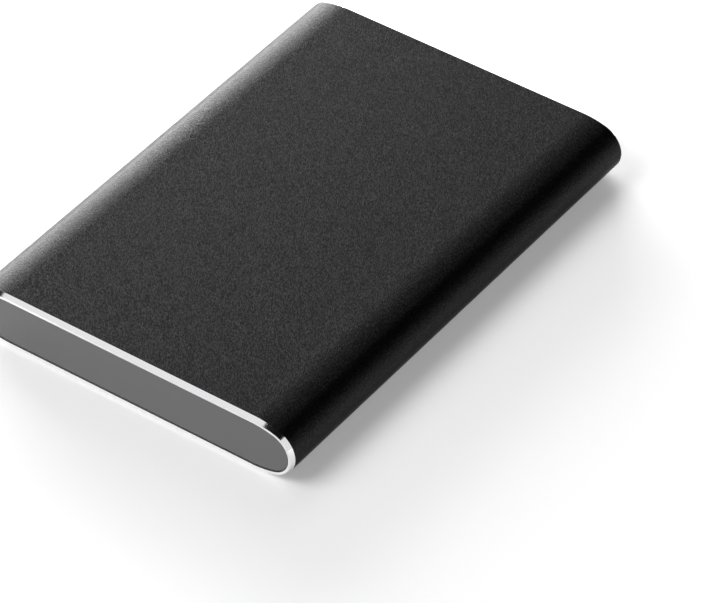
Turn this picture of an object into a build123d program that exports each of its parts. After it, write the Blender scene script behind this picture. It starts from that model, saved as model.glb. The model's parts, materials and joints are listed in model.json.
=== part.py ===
"""Portable hard drive: a disc drive and its bridge board on a tray, slid into an extruded sleeve.

Millimetres. X is the width, Y runs from the plain front panel to the rear panel with the socket,
and Z is up from the underside. The sizes build up from the inside: the disc sets the drive, and
the drive sets the case.
"""
import os
from math import acos, asin, cos, degrees, radians, sin, sqrt

from build123d import *

os.makedirs("parts", exist_ok=True)

# Disc, heads and arm
DISC_RADIUS = 32.5
DISC_BORE_RADIUS = 10.0
DISC_THICKNESS = 0.635
DISC_RIM_GAP = 0.7
FLY_GAP = 0.06
SLIDER_LENGTH = 1.2
SLIDER_WIDTH = 0.9
SLIDER_THICKNESS = 0.25
SUSPENSION_THICKNESS = 0.15
SUSPENSION_LENGTH = 13.5
SUSPENSION_WIDTH = 3.6
SUSPENSION_NECK = 1.2
TAB_LENGTH = 3.0
TAB_WIDTH = 0.6
ARM_THICKNESS = 0.5
ARM_ROOT_WIDTH = 9.0
ARM_TIP_WIDTH = 4.4
ARM_LAP = 4.0
ARM_FLOOR_GAP = 0.24
ARM_COVER_GAP = 0.4
ARM_REACH = 34.0
ARM_HUB_RADIUS = 5.6
PIVOT_ROOM = 6.64
PIVOT_ANGLE = 67.5
INNER_TRACK_RADIUS = 15.0
PARK_MARGIN = 1.6
RAMP_GAP = 0.05
RAMP_WIDTH = 1.8
RAMP_STAND_WIDTH = 3.2
RAMP_STAND_LENGTH = 1.8
RAMP_END_GAP = 0.4

# Pivot and voice-coil motor
PIVOT_RADIUS = 1.5
PIVOT_SLEEVE_RADIUS = 3.5
COIL_ANGLE = 200.0
COIL_HALF_ANGLE = 15.0
COIL_INNER_RADIUS = 8.2
COIL_OUTER_RADIUS = 15.6
COIL_LEG = 1.8
COIL_THICKNESS = 0.6
FORK_PRONG = 1.0
GLUE_GAP = 0.05
MAGNET_GAP = 0.22
MAGNET_THICKNESS = 0.4
MAGNET_MARGIN = 1.0
YOKE_INNER_RADIUS = 7.2
YOKE_OUTER_RADIUS = 18.0
YOKE_HALF_ANGLE = 38.0
YOKE_POST_SIDE = 1.6
YOKE_POST_ANGLE = 30.0
COIL_ROOM_GAP = 0.5

# Spindle motor
SHAFT_RADIUS = 1.5
RUNNING_GAP = 0.03
FIT_GAP = 0.02
BEARING_RADIUS = 3.0
BOSS_RADIUS = 4.6
BOSS_SHOULDER = 1.0
STATOR_RING = 1.3
STATOR_RADIUS = 9.4
STATOR_TEETH = 9
STATOR_STACK = 1.0
TOOTH_WIDTH = 1.2
SHOE_DEPTH = 0.8
SHOE_WIDTH = 4.4
WINDING_WALL = 0.35
WINDING_SIDE = 0.6
WINDING_LENGTH = 1.8
AIR_GAP = 0.3
ROTOR_MAGNET_WALL = 1.3
SKIRT_WALL = 1.2
WELL_GAP = 0.5
WELL_FLOOR = 0.9
WINDING_FLOOR_GAP = 0.2
ROTOR_FLOOR_GAP = 0.3
HUB_PLATE = 1.2
CLAMP_RADIUS = 11.6
CLAMP_THICKNESS = 0.45
CLAMP_LIFT = 0.05

# Drive casting, cover and board
DRIVE_WALL = 1.725
DRIVE_CORNER_RADIUS = 2.5
DECK_FLOOR = 1.0
COVER_THICKNESS = 0.8
COVER_EDGE = 0.3
BOARD_LIFT = 0.25
DRIVE_BOARD_THICKNESS = 0.8
CHIP_HEIGHT = 0.7
CHIP_GAP = 0.25
CHIP_SPACING = 14.0
CONTROLLER_SIDE = 10.0
MOTOR_CHIP_SIDE = 6.0
MEMORY_WIDTH = 8.0
MEMORY_LENGTH = 5.0
POCKET_GAP = 0.5
DRIVE_BOARD_ROOM = 3.4
MOUNT_HOLE_SIDE = 4.065
MOUNT_HOLE_FRONT = 9.6
MOUNT_HOLE_REAR = 14.0
MOUNT_HOLE_RADIUS = 1.5
MOUNT_HOLE_DEPTH = 3.0
FILTER_WIDTH = 3.0
FILTER_LENGTH = 4.0
FILTER_HEIGHT = 2.2

# Drive plug and the socket that takes it
PLUG_OFFSET = 4.8
PLUG_WIDTH = 42.0
PLUG_HEIGHT = 4.2
PLUG_DEPTH = 7.2
PLUG_WALL = 3.4
PLUG_GAP = 0.2
MOUTH_WIDTH = 39.4
MOUTH_HEIGHT = 3.0
MOUTH_DEPTH = 5.0
MOUTH_GAP = 0.15
TONGUE_THICKNESS = 1.2
SIGNAL_TONGUE = 10.4
POWER_TONGUE = 20.6
TONGUE_SPACE = 2.4
TONGUE_GAP = 0.3
SIGNAL_CONTACTS = 7
POWER_CONTACTS = 15
CONTACT_PITCH = 1.27
CONTACT_WIDTH = 0.7
CONTACT_THICKNESS = 0.08
CONTACT_SETBACK = 0.6
SOCKET_STANDOFF = 0.4
SOCKET_LIP = 2.2
SOCKET_BODY_DEPTH = 4.0
SOCKET_BODY_WIDTH = 42.8
SOCKET_BODY_HEIGHT = 4.8

# Bridge board and cable socket
BRIDGE_THICKNESS = 1.0
BRIDGE_WIDTH = 59.0
BRIDGE_PANEL_GAP = 0.4
LEDGE_WIDTH = 4.0
USB_WIDTH = 8.94
USB_HEIGHT = 3.16
USB_LENGTH = 7.35
USB_WALL = 0.3
USB_BACK = 1.6
USB_TONGUE_WIDTH = 6.69
USB_TONGUE_THICKNESS = 0.7
USB_TONGUE_SETBACK = 0.8
USB_CONTACTS = 12
USB_PITCH = 0.5
USB_CONTACT_WIDTH = 0.25
USB_CONTACT_LENGTH = 3.6
USB_CONTACT_THICKNESS = 0.05
USB_LEG_LENGTH = 1.0
USB_LEG_SPACING = 3.2
LEG_GAP = 0.15
USB_OPENING_GAP = 0.15
USB_OPENING_CHAMFER = 0.3
PART_SPACE = 3.2
BRIDGE_CHIP_SIDE = 5.0
BRIDGE_CHIP_HEIGHT = 0.85
CRYSTAL_WIDTH = 3.2
CRYSTAL_LENGTH = 2.5
CRYSTAL_HEIGHT = 0.8
INDUCTOR_SIDE = 4.0
INDUCTOR_HEIGHT = 1.8
INDUCTOR_CORNER = 0.6
CAPACITOR_WIDTH = 0.8
CAPACITOR_LENGTH = 1.6
CAPACITOR_HEIGHT = 0.8
LAMP_WIDTH = 1.6
LAMP_LENGTH = 0.8
LAMP_HEIGHT = 0.8
LAMP_OFFSET = 8.2
LIGHT_GUIDE_SIDE = 1.4
LAMP_GAP = 0.1

# Case
SIDE_ROOM = 5.075
FRONT_ROOM = 1.6
BOARD_ROOM = 11.5
SLEEVE_WALL = 1.2
SHOULDER_EXTRA = 14.4
NOSE_LESS = 0.58
BEVEL_LENGTH = 1.07
BEVEL_DEPTH = 0.39
RIM_WIDTH = 0.55
RAIL_THICKNESS = 1.0
RAIL_GAP = 1.2
PANEL_RECESS = 0.25
PANEL_THICKNESS = 1.6
PANEL_GAP = 0.1
PANEL_EDGE = 0.15
HOOK_THICKNESS = 1.0
HOOK_LENGTH = 6.0
HOOK_GAP = 0.2
HOOK_INNER_WALL = 0.5
BARB_DEPTH = 0.7
BARB_LENGTH = 1.4
CHANNEL_DEPTH = 2.3
TRAY_GAP = 0.15
TRAY_FLOOR = 1.2
TRAY_END_GAP = 0.2
PEG_HEIGHT = 2.0
PEG_GAP = 0.1
DRIVE_GAP = 0.25
WINDOW_SIDE = 16.0
WINDOW_RIB = 14.0
WINDOW_CORNER = 3.0
CORE_LENGTH = 9.0
CORE_RIB = 3.0
PAD_THICKNESS = 2.0
PAD_GAP = 0.15
PAD_SIDE = 4.0
PAD_END = 8.0

STANDING = (Align.CENTER, Align.CENTER, Align.MIN)


def angle_at_pivot(head_radius):
    """Angle between the arm and the line to the spindle when the heads stand at head_radius."""
    square = spindle_to_pivot**2 + ARM_REACH**2 - head_radius**2
    return degrees(acos(square / (2 * spindle_to_pivot * ARM_REACH)))


# Places in plan
spindle_to_pivot = DISC_RADIUS + PIVOT_ROOM
park_turn = angle_at_pivot(DISC_RADIUS + PARK_MARGIN)
swing = park_turn - angle_at_pivot(INNER_TRACK_RADIUS)
park_direction = 180 + PIVOT_ANGLE - park_turn
coil_middle = park_direction + COIL_ANGLE + swing / 2
coil_room_radius = YOKE_OUTER_RADIUS + COIL_ROOM_GAP

drive_width = 2 * (DISC_RADIUS + DISC_RIM_GAP + DRIVE_WALL)
pivot_rise = spindle_to_pivot * sin(radians(PIVOT_ANGLE))
drive_length = drive_width / 2 + pivot_rise + coil_room_radius + PLUG_WALL + PLUG_DEPTH
end_depth = PANEL_RECESS + PANEL_THICKNESS
case_width = drive_width + 2 * SIDE_ROOM
case_length = 2 * end_depth + FRONT_ROOM + drive_length + BOARD_ROOM

front_y = -case_length / 2
rear_y = case_length / 2
panel_back = front_y + end_depth
panel_front = rear_y - end_depth
drive_front = panel_back + FRONT_ROOM
drive_rear = drive_front + drive_length
drive_middle = (drive_front + drive_rear) / 2
spindle_x = 0.0
spindle_y = drive_front + drive_width / 2
pivot_x = spindle_to_pivot * cos(radians(PIVOT_ANGLE))
pivot_y = spindle_y + pivot_rise
spindle_axis = Axis((spindle_x, spindle_y, 0), (0, 0, 1))

# Heights
tray_bottom = SLEEVE_WALL + TRAY_GAP
drive_bottom = tray_bottom + TRAY_FLOOR
board_face = drive_bottom + BOARD_LIFT
board_top = board_face + DRIVE_BOARD_THICKNESS
pocket_top = board_top + CHIP_HEIGHT + CHIP_GAP
deck_top = pocket_top + DECK_FLOOR
lower_arm = deck_top + ARM_FLOOR_GAP
lower_suspension = lower_arm + ARM_THICKNESS
lower_slider = lower_suspension + SUSPENSION_THICKNESS
disc_bottom = lower_slider + SLIDER_THICKNESS + FLY_GAP
disc_top = disc_bottom + DISC_THICKNESS
upper_slider = disc_top + FLY_GAP
upper_suspension = upper_slider + SLIDER_THICKNESS
upper_arm = upper_suspension + SUSPENSION_THICKNESS
arm_top = upper_arm + ARM_THICKNESS
cover_bottom = arm_top + ARM_COVER_GAP
drive_top = cover_bottom + COVER_THICKNESS
case_height = drive_top + PAD_THICKNESS + PAD_GAP + SLEEVE_WALL
middle_z = case_height / 2
disc_middle = (disc_bottom + disc_top) / 2

coil_bottom = disc_middle - COIL_THICKNESS / 2
lower_magnet = coil_bottom - MAGNET_GAP - MAGNET_THICKNESS
upper_magnet = coil_bottom + COIL_THICKNESS + MAGNET_GAP
upper_yoke_bottom = upper_magnet + MAGNET_THICKNESS
yoke_thickness = lower_magnet - deck_top

well_floor = drive_bottom + WELL_FLOOR
winding_bottom = well_floor + WINDING_FLOOR_GAP
stator_bottom = winding_bottom + WINDING_WALL
stator_top = stator_bottom + STATOR_STACK
hub_underside = disc_bottom - HUB_PLATE
rotor_bottom = well_floor + ROTOR_FLOOR_GAP
rotor_magnet_radius = sqrt(STATOR_RADIUS**2 + (SHOE_WIDTH / 2) ** 2) + AIR_GAP
skirt_inner = rotor_magnet_radius + ROTOR_MAGNET_WALL + FIT_GAP
skirt_outer = skirt_inner + SKIRT_WALL
well_radius = skirt_outer + WELL_GAP

# Drive plug and bridge board
plug_top = board_top + PLUG_HEIGHT
plug_z = (board_top + plug_top) / 2
tongues_width = SIGNAL_TONGUE + TONGUE_SPACE + POWER_TONGUE
signal_x = PLUG_OFFSET - tongues_width / 2 + SIGNAL_TONGUE / 2
power_x = PLUG_OFFSET + tongues_width / 2 - POWER_TONGUE / 2
tongues = ((signal_x, SIGNAL_TONGUE), (power_x, POWER_TONGUE))
contact_rows = ((signal_x, SIGNAL_CONTACTS), (power_x, POWER_CONTACTS))
tongue_face = plug_z + TONGUE_THICKNESS / 2
contact_length = MOUTH_DEPTH - 2 * CONTACT_SETBACK
socket_front = drive_rear + SOCKET_STANDOFF
nose_length = SOCKET_STANDOFF + MOUTH_DEPTH - MOUTH_GAP
bridge_top = middle_z - USB_HEIGHT / 2
bridge_bottom = bridge_top - BRIDGE_THICKNESS
bridge_front = socket_front + SOCKET_LIP
bridge_rear = panel_front - BRIDGE_PANEL_GAP
bridge_length = bridge_rear - bridge_front
parts_y = (socket_front + SOCKET_BODY_DEPTH + bridge_rear) / 2
crystal_x = -(USB_WIDTH + CRYSTAL_WIDTH) / 2 - PART_SPACE
chip_x = crystal_x - (CRYSTAL_WIDTH + BRIDGE_CHIP_SIDE) / 2 - PART_SPACE / 2
capacitor_x = LAMP_OFFSET + LAMP_WIDTH / 2 + PART_SPACE
inductor_x = capacitor_x + INDUCTOR_SIDE / 2 + PART_SPACE
usb_mouth = rear_y - PANEL_RECESS
usb_back = usb_mouth - USB_LENGTH
usb_leg_x = (USB_WIDTH - USB_WALL) / 2
usb_leg_y = usb_back + USB_LEG_LENGTH + USB_LEG_SPACING / 2
lamp_z = bridge_top + LAMP_HEIGHT / 2

# Drive board and mounting holes
drive_board_width = drive_width - 2 * (MOUNT_HOLE_SIDE + DRIVE_BOARD_ROOM)
drive_board_front = spindle_y + well_radius + DRIVE_BOARD_ROOM
drive_board_rear = drive_rear - PLUG_DEPTH / 2
drive_board_length = drive_board_rear - drive_board_front
drive_board_middle = (drive_board_front + drive_board_rear) / 2
mount_span_x = drive_width - 2 * MOUNT_HOLE_SIDE
mount_span_y = drive_length - MOUNT_HOLE_FRONT - MOUNT_HOLE_REAR
mount_middle_y = drive_middle + (MOUNT_HOLE_FRONT - MOUNT_HOLE_REAR) / 2
ramp_reach = ARM_REACH + TAB_LENGTH + RAMP_END_GAP + RAMP_STAND_LENGTH
strip_left = pivot_x + ramp_reach * cos(radians(park_direction)) - RAMP_STAND_WIDTH / 2
strip_top = pivot_y + ARM_HUB_RADIUS + DISC_RIM_GAP

# Tray and end panels
rim_inset = BEVEL_DEPTH + RIM_WIDTH
tray_front = panel_back + TRAY_END_GAP
tray_length = panel_front - TRAY_END_GAP - tray_front
tray_top = middle_z
pocket_half_width = drive_width / 2 + DRIVE_GAP
channel_inner = pocket_half_width + HOOK_INNER_WALL
hook_inner = channel_inner + HOOK_GAP
hook_outer = hook_inner + HOOK_THICKNESS
channel_outer = hook_outer + HOOK_GAP
channel_floor = tray_top - CHANNEL_DEPTH
hook_tip = panel_back + HOOK_LENGTH
catch_front = hook_tip - BARB_LENGTH - HOOK_GAP
catch_length = BARB_LENGTH + 2 * HOOK_GAP
rail_tip = channel_inner + RAIL_GAP


def across(y):
    """Plane square to the case's length, centred on its height, with its normal towards the front."""
    return Plane(origin=(0, y, middle_z), x_dir=(1, 0, 0), z_dir=(0, -1, 0))


def level(z):
    """Level plane on the case's centre."""
    return Plane.XY.offset(z)


def pivot_level(z):
    """Level plane on the pivot's axis, square to the case."""
    return Plane(origin=(pivot_x, pivot_y, z))


def arm_level(z):
    """Level plane on the pivot's axis, with X along the parked arm."""
    along = (cos(radians(park_direction)), sin(radians(park_direction)), 0)
    return Plane(origin=(pivot_x, pivot_y, z), x_dir=along)


def spindle_section():
    """Upright plane through the spindle's axis: X is the radius, Y the height."""
    return Plane(origin=(spindle_x, spindle_y, 0), x_dir=(1, 0, 0), z_dir=(0, -1, 0))


def case_section(inset):
    """Section of the case, moved in by inset: flat top and bottom, and three arcs round each side."""
    half_height = middle_z - inset
    shoulder = half_height + SHOULDER_EXTRA
    nose = half_height - NOSE_LESS
    turn = degrees(asin(SHOULDER_EXTRA / (SHOULDER_EXTRA + NOSE_LESS)))
    nose_x = case_width / 2 - inset - nose
    flat_x = nose_x - (SHOULDER_EXTRA + NOSE_LESS) * cos(radians(turn))
    with BuildSketch() as section:
        with BuildLine():
            Line((0, half_height), (flat_x, half_height))
            CenterArc((flat_x, half_height - shoulder), shoulder, turn, 90 - turn)
            CenterArc((nose_x, 0), nose, -turn, 2 * turn)
            CenterArc((flat_x, shoulder - half_height), shoulder, -90, 90 - turn)
            Line((flat_x, -half_height), (0, -half_height))
            mirror(about=Plane.YZ)
        make_face()
    return section.sketch


def ring_piece(inner_radius, outer_radius, middle, half_angle):
    """Piece of a flat ring about the origin, half_angle degrees to each side of the direction middle."""
    with BuildSketch() as piece:
        with BuildLine():
            inner = CenterArc((0, 0), inner_radius, middle - half_angle, 2 * half_angle)
            outer = CenterArc((0, 0), outer_radius, middle - half_angle, 2 * half_angle)
            Line(inner @ 0, outer @ 0)
            Line(inner @ 1, outer @ 1)
        make_face()
    return piece.sketch


def drive_room():
    """Outline of the room in the drive: round the disc, round the coil and along the arm."""
    with BuildSketch() as room:
        with Locations((spindle_x, spindle_y)):
            Circle(DISC_RADIUS + DISC_RIM_GAP)
        with Locations((pivot_x, pivot_y)):
            Circle(coil_room_radius)
        with Locations((strip_left, spindle_y)):
            Rectangle(pivot_x - strip_left, strip_top - spindle_y, align=(Align.MIN, Align.MIN))
        with Locations((0, drive_middle)):
            Rectangle(drive_width - 2 * DRIVE_WALL, drive_length, mode=Mode.INTERSECT)
    return room.sketch


# Sleeve: extrusion with a bevelled rim and a panel seat at each end, and a rail over each tray side
with BuildPart() as sleeve:
    with BuildSketch(across(front_y)):
        add(case_section(0))
    extrude(amount=-case_length)
    front_end = sleeve.faces().sort_by(Axis.Y)[0]
    chamfer(front_end.edges(), length=BEVEL_DEPTH, length2=BEVEL_LENGTH, reference=front_end)
    rear_end = sleeve.faces().sort_by(Axis.Y)[-1]
    chamfer(rear_end.edges(), length=BEVEL_DEPTH, length2=BEVEL_LENGTH, reference=rear_end)
    with BuildSketch(across(front_y)):
        add(case_section(SLEEVE_WALL))
        with Locations((rail_tip, tray_top + TRAY_GAP - middle_z)):
            Rectangle(SIDE_ROOM, RAIL_THICKNESS, align=(Align.MIN, Align.MIN), mode=Mode.SUBTRACT)
        with Locations((-rail_tip, tray_top + TRAY_GAP - middle_z)):
            Rectangle(SIDE_ROOM, RAIL_THICKNESS, align=(Align.MAX, Align.MIN), mode=Mode.SUBTRACT)
    extrude(amount=-case_length, mode=Mode.SUBTRACT)
    for seat_y in (front_y, panel_front):
        with BuildSketch(across(seat_y)):
            add(case_section(rim_inset))
        extrude(amount=-end_depth, mode=Mode.SUBTRACT)
sleeve.part.label = "sleeve"
export_step(sleeve.part, "parts/sleeve.step")

# Front panel: plain plate in the sleeve's seat, with a snap hook each side
with BuildPart() as front_panel:
    with BuildSketch(across(front_y + PANEL_RECESS)):
        add(case_section(rim_inset + PANEL_GAP))
    extrude(amount=-PANEL_THICKNESS)
    chamfer(front_panel.faces().sort_by(Axis.Y)[0].edges(), PANEL_EDGE)
    with BuildSketch(level(channel_floor + HOOK_GAP)):
        with BuildLine():
            Polyline(
                (hook_inner, panel_back),
                (hook_outer, panel_back),
                (hook_outer, hook_tip - BARB_LENGTH),
                (hook_outer + BARB_DEPTH, hook_tip - BARB_LENGTH),
                (hook_outer, hook_tip),
                (hook_inner, hook_tip),
                close=True,
            )
        make_face()
        mirror(about=Plane.YZ)
    extrude(amount=CHANNEL_DEPTH - 2 * HOOK_GAP)
front_panel.part.label = "front_panel"
export_step(front_panel.part, "parts/front_panel.step")

# Rear panel: the front panel turned round, with the socket's opening and the light guide's hole
with BuildPart() as rear_panel:
    add(front_panel.part.rotate(Axis.Z, 180))
    with BuildSketch(across(rear_y)):
        SlotOverall(USB_WIDTH + 2 * USB_OPENING_GAP, USB_HEIGHT + 2 * USB_OPENING_GAP)
        with Locations((LAMP_OFFSET, lamp_z - middle_z)):
            Rectangle(LIGHT_GUIDE_SIDE + 2 * FIT_GAP, LIGHT_GUIDE_SIDE + 2 * FIT_GAP)
    extrude(amount=end_depth, mode=Mode.SUBTRACT)
    rear_openings = rear_panel.faces().sort_by(Axis.Y)[-1].inner_wires()
    chamfer(rear_openings.sort_by(SortBy.LENGTH)[-1].edges(), USB_OPENING_CHAMFER)
rear_panel.part.label = "rear_panel"
export_step(rear_panel.part, "parts/rear_panel.step")

# Light guide: clear bar through the rear panel, up to the lamp
with BuildPart() as light_guide:
    with BuildSketch(across(usb_mouth)):
        with Locations((LAMP_OFFSET, lamp_z - middle_z)):
            Rectangle(LIGHT_GUIDE_SIDE, LIGHT_GUIDE_SIDE)
    extrude(amount=PANEL_THICKNESS + BRIDGE_PANEL_GAP - LAMP_GAP)
light_guide.part.label = "light_guide"
export_step(light_guide.part, "parts/light_guide.step")

# Tray: lower half of the bore's section, with floor windows, cored sides, drive pegs and board ledges
with BuildPart() as tray:
    with BuildSketch(across(tray_front)):
        add(case_section(SLEEVE_WALL + TRAY_GAP))
        with Locations((0, tray_top - middle_z)):
            Rectangle(case_width, case_height, align=(Align.CENTER, Align.MIN), mode=Mode.SUBTRACT)
    extrude(amount=-tray_length)
    with BuildSketch(level(drive_bottom)):
        with Locations((0, drive_front - DRIVE_GAP)):
            Rectangle(2 * pocket_half_width, case_length, align=(Align.CENTER, Align.MIN))
    extrude(amount=case_height, mode=Mode.SUBTRACT)
    window_width = drive_width - 2 * WINDOW_SIDE
    window_length = (drive_length - 3 * WINDOW_RIB) / 2
    with BuildSketch(level(tray_bottom)) as windows:
        with Locations((0, drive_middle)):
            with GridLocations(0, window_length + WINDOW_RIB, 1, 2):
                Rectangle(window_width, window_length)
        chamfer(windows.vertices(), WINDOW_CORNER)
    extrude(amount=TRAY_FLOOR, mode=Mode.SUBTRACT)
    channel_x = (channel_inner + channel_outer) / 2
    channel_width = channel_outer - channel_inner
    channel_length = hook_tip + HOOK_GAP - tray_front
    core_run = tray_length - 2 * (channel_length + CORE_RIB)
    core_count = int((core_run + CORE_RIB) / (CORE_LENGTH + CORE_RIB))
    with BuildSketch(level(tray_top)):
        with GridLocations(2 * channel_x, tray_length - channel_length, 2, 2):
            Rectangle(channel_width, channel_length)
        with GridLocations(2 * channel_x, CORE_LENGTH + CORE_RIB, 2, core_count):
            Rectangle(channel_width, CORE_LENGTH)
        catch_span = 2 * (-catch_front) - catch_length
        with GridLocations(2 * (channel_outer + SIDE_ROOM / 2), catch_span, 2, 2):
            Rectangle(SIDE_ROOM, catch_length)
    extrude(amount=-CHANNEL_DEPTH, mode=Mode.SUBTRACT)
    with BuildSketch(level(drive_bottom)):
        with Locations((0, mount_middle_y)):
            with GridLocations(mount_span_x, mount_span_y, 2, 2):
                Circle(MOUNT_HOLE_RADIUS - PEG_GAP)
    extrude(amount=PEG_HEIGHT)
    with BuildSketch(level(drive_bottom)):
        with Locations((0, (bridge_front + bridge_rear) / 2)):
            with GridLocations(BRIDGE_WIDTH - LEDGE_WIDTH, 0, 2, 1):
                Rectangle(LEDGE_WIDTH, bridge_length)
    extrude(amount=bridge_bottom - drive_bottom)
tray.part.label = "tray"
export_step(tray.part, "parts/tray.step")

# Foam sheet over the drive
with BuildPart() as top_pad:
    with BuildSketch(level(drive_top)):
        with Locations((0, drive_middle)):
            Rectangle(drive_width - 2 * PAD_SIDE, drive_length - 2 * PAD_END)
    extrude(amount=PAD_THICKNESS)
top_pad.part.label = "top_pad"
export_step(top_pad.part, "parts/top_pad.step")

# Drive casting: room for disc and arm above, the motor's well, and pockets for board and plug below
with BuildPart() as drive_base:
    with BuildSketch(level(drive_bottom)):
        with Locations((0, drive_middle)):
            RectangleRounded(drive_width, drive_length, DRIVE_CORNER_RADIUS)
    extrude(amount=cover_bottom - drive_bottom)
    with BuildSketch(level(deck_top)):
        add(drive_room())
    extrude(amount=cover_bottom - deck_top, mode=Mode.SUBTRACT)
    with Locations((spindle_x, spindle_y, well_floor)):
        Cylinder(well_radius, deck_top - well_floor, align=STANDING, mode=Mode.SUBTRACT)
        Cylinder(BOSS_RADIUS + BOSS_SHOULDER, stator_bottom - well_floor, align=STANDING)
        Cylinder(BOSS_RADIUS, stator_top - well_floor, align=STANDING)
        Cylinder(BEARING_RADIUS + FIT_GAP, stator_top - well_floor, align=STANDING, mode=Mode.SUBTRACT)
    with BuildSketch(level(drive_bottom)):
        with Locations((0, drive_rear)):
            pocket_length = drive_rear - drive_board_front + POCKET_GAP
            Rectangle(drive_board_width + 2 * POCKET_GAP, pocket_length, align=(Align.CENTER, Align.MAX))
    extrude(amount=pocket_top - drive_bottom, mode=Mode.SUBTRACT)
    with BuildSketch(level(drive_bottom)):
        with Locations((PLUG_OFFSET, drive_rear)):
            Rectangle(PLUG_WIDTH + 2 * PLUG_GAP, PLUG_DEPTH, align=(Align.CENTER, Align.MAX))
    extrude(amount=plug_top + PLUG_GAP - drive_bottom, mode=Mode.SUBTRACT)
    with BuildSketch(level(drive_bottom)):
        with Locations((0, mount_middle_y)):
            with GridLocations(mount_span_x, mount_span_y, 2, 2):
                Circle(MOUNT_HOLE_RADIUS)
    extrude(amount=MOUNT_HOLE_DEPTH, mode=Mode.SUBTRACT)
drive_base.part.label = "drive_base"
export_step(drive_base.part, "parts/drive_base.step")

# Cover
with BuildPart() as drive_cover:
    with BuildSketch(level(cover_bottom)):
        with Locations((0, drive_middle)):
            cover_size = (drive_width - 2 * COVER_EDGE, drive_length - 2 * COVER_EDGE)
            RectangleRounded(*cover_size, DRIVE_CORNER_RADIUS - COVER_EDGE)
    extrude(amount=COVER_THICKNESS)
drive_cover.part.label = "drive_cover"
export_step(drive_cover.part, "parts/drive_cover.step")

# Disc
with BuildPart() as disc:
    with BuildSketch(level(disc_bottom)):
        with Locations((spindle_x, spindle_y)):
            Circle(DISC_RADIUS)
            Circle(DISC_BORE_RADIUS, mode=Mode.SUBTRACT)
    extrude(amount=DISC_THICKNESS)
disc.part.label = "disc"
export_step(disc.part, "parts/disc.step")

# Hub: shaft in the bearing, skirt round the rotor magnet, flange under the disc and spigot in its bore
with BuildPart() as spindle_hub:
    spigot = DISC_BORE_RADIUS - FIT_GAP
    spigot_top = disc_top - CLAMP_LIFT
    with BuildSketch(spindle_section()):
        with BuildLine():
            Polyline(
                (0, rotor_bottom),
                (SHAFT_RADIUS, rotor_bottom),
                (SHAFT_RADIUS, hub_underside),
                (skirt_inner, hub_underside),
                (skirt_inner, rotor_bottom),
                (skirt_outer, rotor_bottom),
                (skirt_outer, disc_bottom),
                (spigot, disc_bottom),
                (spigot, spigot_top),
                (0, spigot_top),
                close=True,
            )
        make_face()
    revolve(axis=spindle_axis)
spindle_hub.part.label = "spindle_hub"
export_step(spindle_hub.part, "parts/spindle_hub.step")

# Rotor magnet in the hub's skirt
with BuildPart() as rotor_magnet:
    with BuildSketch(level(rotor_bottom)):
        with Locations((spindle_x, spindle_y)):
            Circle(skirt_inner - FIT_GAP)
            Circle(rotor_magnet_radius, mode=Mode.SUBTRACT)
    extrude(amount=hub_underside - rotor_bottom)
rotor_magnet.part.label = "rotor_magnet"
export_step(rotor_magnet.part, "parts/rotor_magnet.step")

# Clamp over the disc
with BuildPart() as disc_clamp:
    with BuildSketch(level(disc_top)):
        with Locations((spindle_x, spindle_y)):
            Circle(CLAMP_RADIUS)
    extrude(amount=CLAMP_THICKNESS)
disc_clamp.part.label = "disc_clamp"
export_step(disc_clamp.part, "parts/disc_clamp.step")

# Bearing sleeve, fixed in the casting's boss
with BuildPart() as spindle_bearing:
    with BuildSketch(level(well_floor)):
        with Locations((spindle_x, spindle_y)):
            Circle(BEARING_RADIUS)
            Circle(SHAFT_RADIUS + RUNNING_GAP, mode=Mode.SUBTRACT)
    extrude(amount=stator_top - well_floor)
spindle_bearing.part.label = "spindle_bearing"
export_step(spindle_bearing.part, "parts/spindle_bearing.step")

# Stator: ring, teeth and pole shoes
with BuildPart() as stator_core:
    with BuildSketch(level(stator_bottom)):
        with Locations((spindle_x, spindle_y)):
            Circle(BOSS_RADIUS + FIT_GAP + STATOR_RING)
            with PolarLocations(0, STATOR_TEETH):
                Rectangle(STATOR_RADIUS - SHOE_DEPTH / 2, TOOTH_WIDTH, align=(Align.MIN, Align.CENTER))
            with PolarLocations(STATOR_RADIUS - SHOE_DEPTH, STATOR_TEETH):
                Rectangle(SHOE_DEPTH, SHOE_WIDTH, align=(Align.MIN, Align.CENTER))
            Circle(BOSS_RADIUS + FIT_GAP, mode=Mode.SUBTRACT)
    extrude(amount=STATOR_STACK)
stator_core.part.label = "stator_core"
export_step(stator_core.part, "parts/stator_core.step")

# A winding round each tooth
with BuildPart() as stator_windings:
    winding_height = STATOR_STACK + 2 * WINDING_WALL
    winding_width = TOOTH_WIDTH + 2 * WINDING_SIDE
    winding_middle = STATOR_RADIUS - SHOE_DEPTH - FIT_GAP - WINDING_LENGTH / 2
    tunnel_height = STATOR_STACK + 2 * FIT_GAP
    tunnel_width = TOOTH_WIDTH + 2 * FIT_GAP
    with Locations((spindle_x, spindle_y, stator_bottom + STATOR_STACK / 2)):
        with PolarLocations(winding_middle, STATOR_TEETH):
            Box(WINDING_LENGTH, winding_width, winding_height)
            Box(WINDING_LENGTH, tunnel_width, tunnel_height, mode=Mode.SUBTRACT)
stator_windings.part.label = "stator_windings"
export_step(stator_windings.part, "parts/stator_windings.step")

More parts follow.
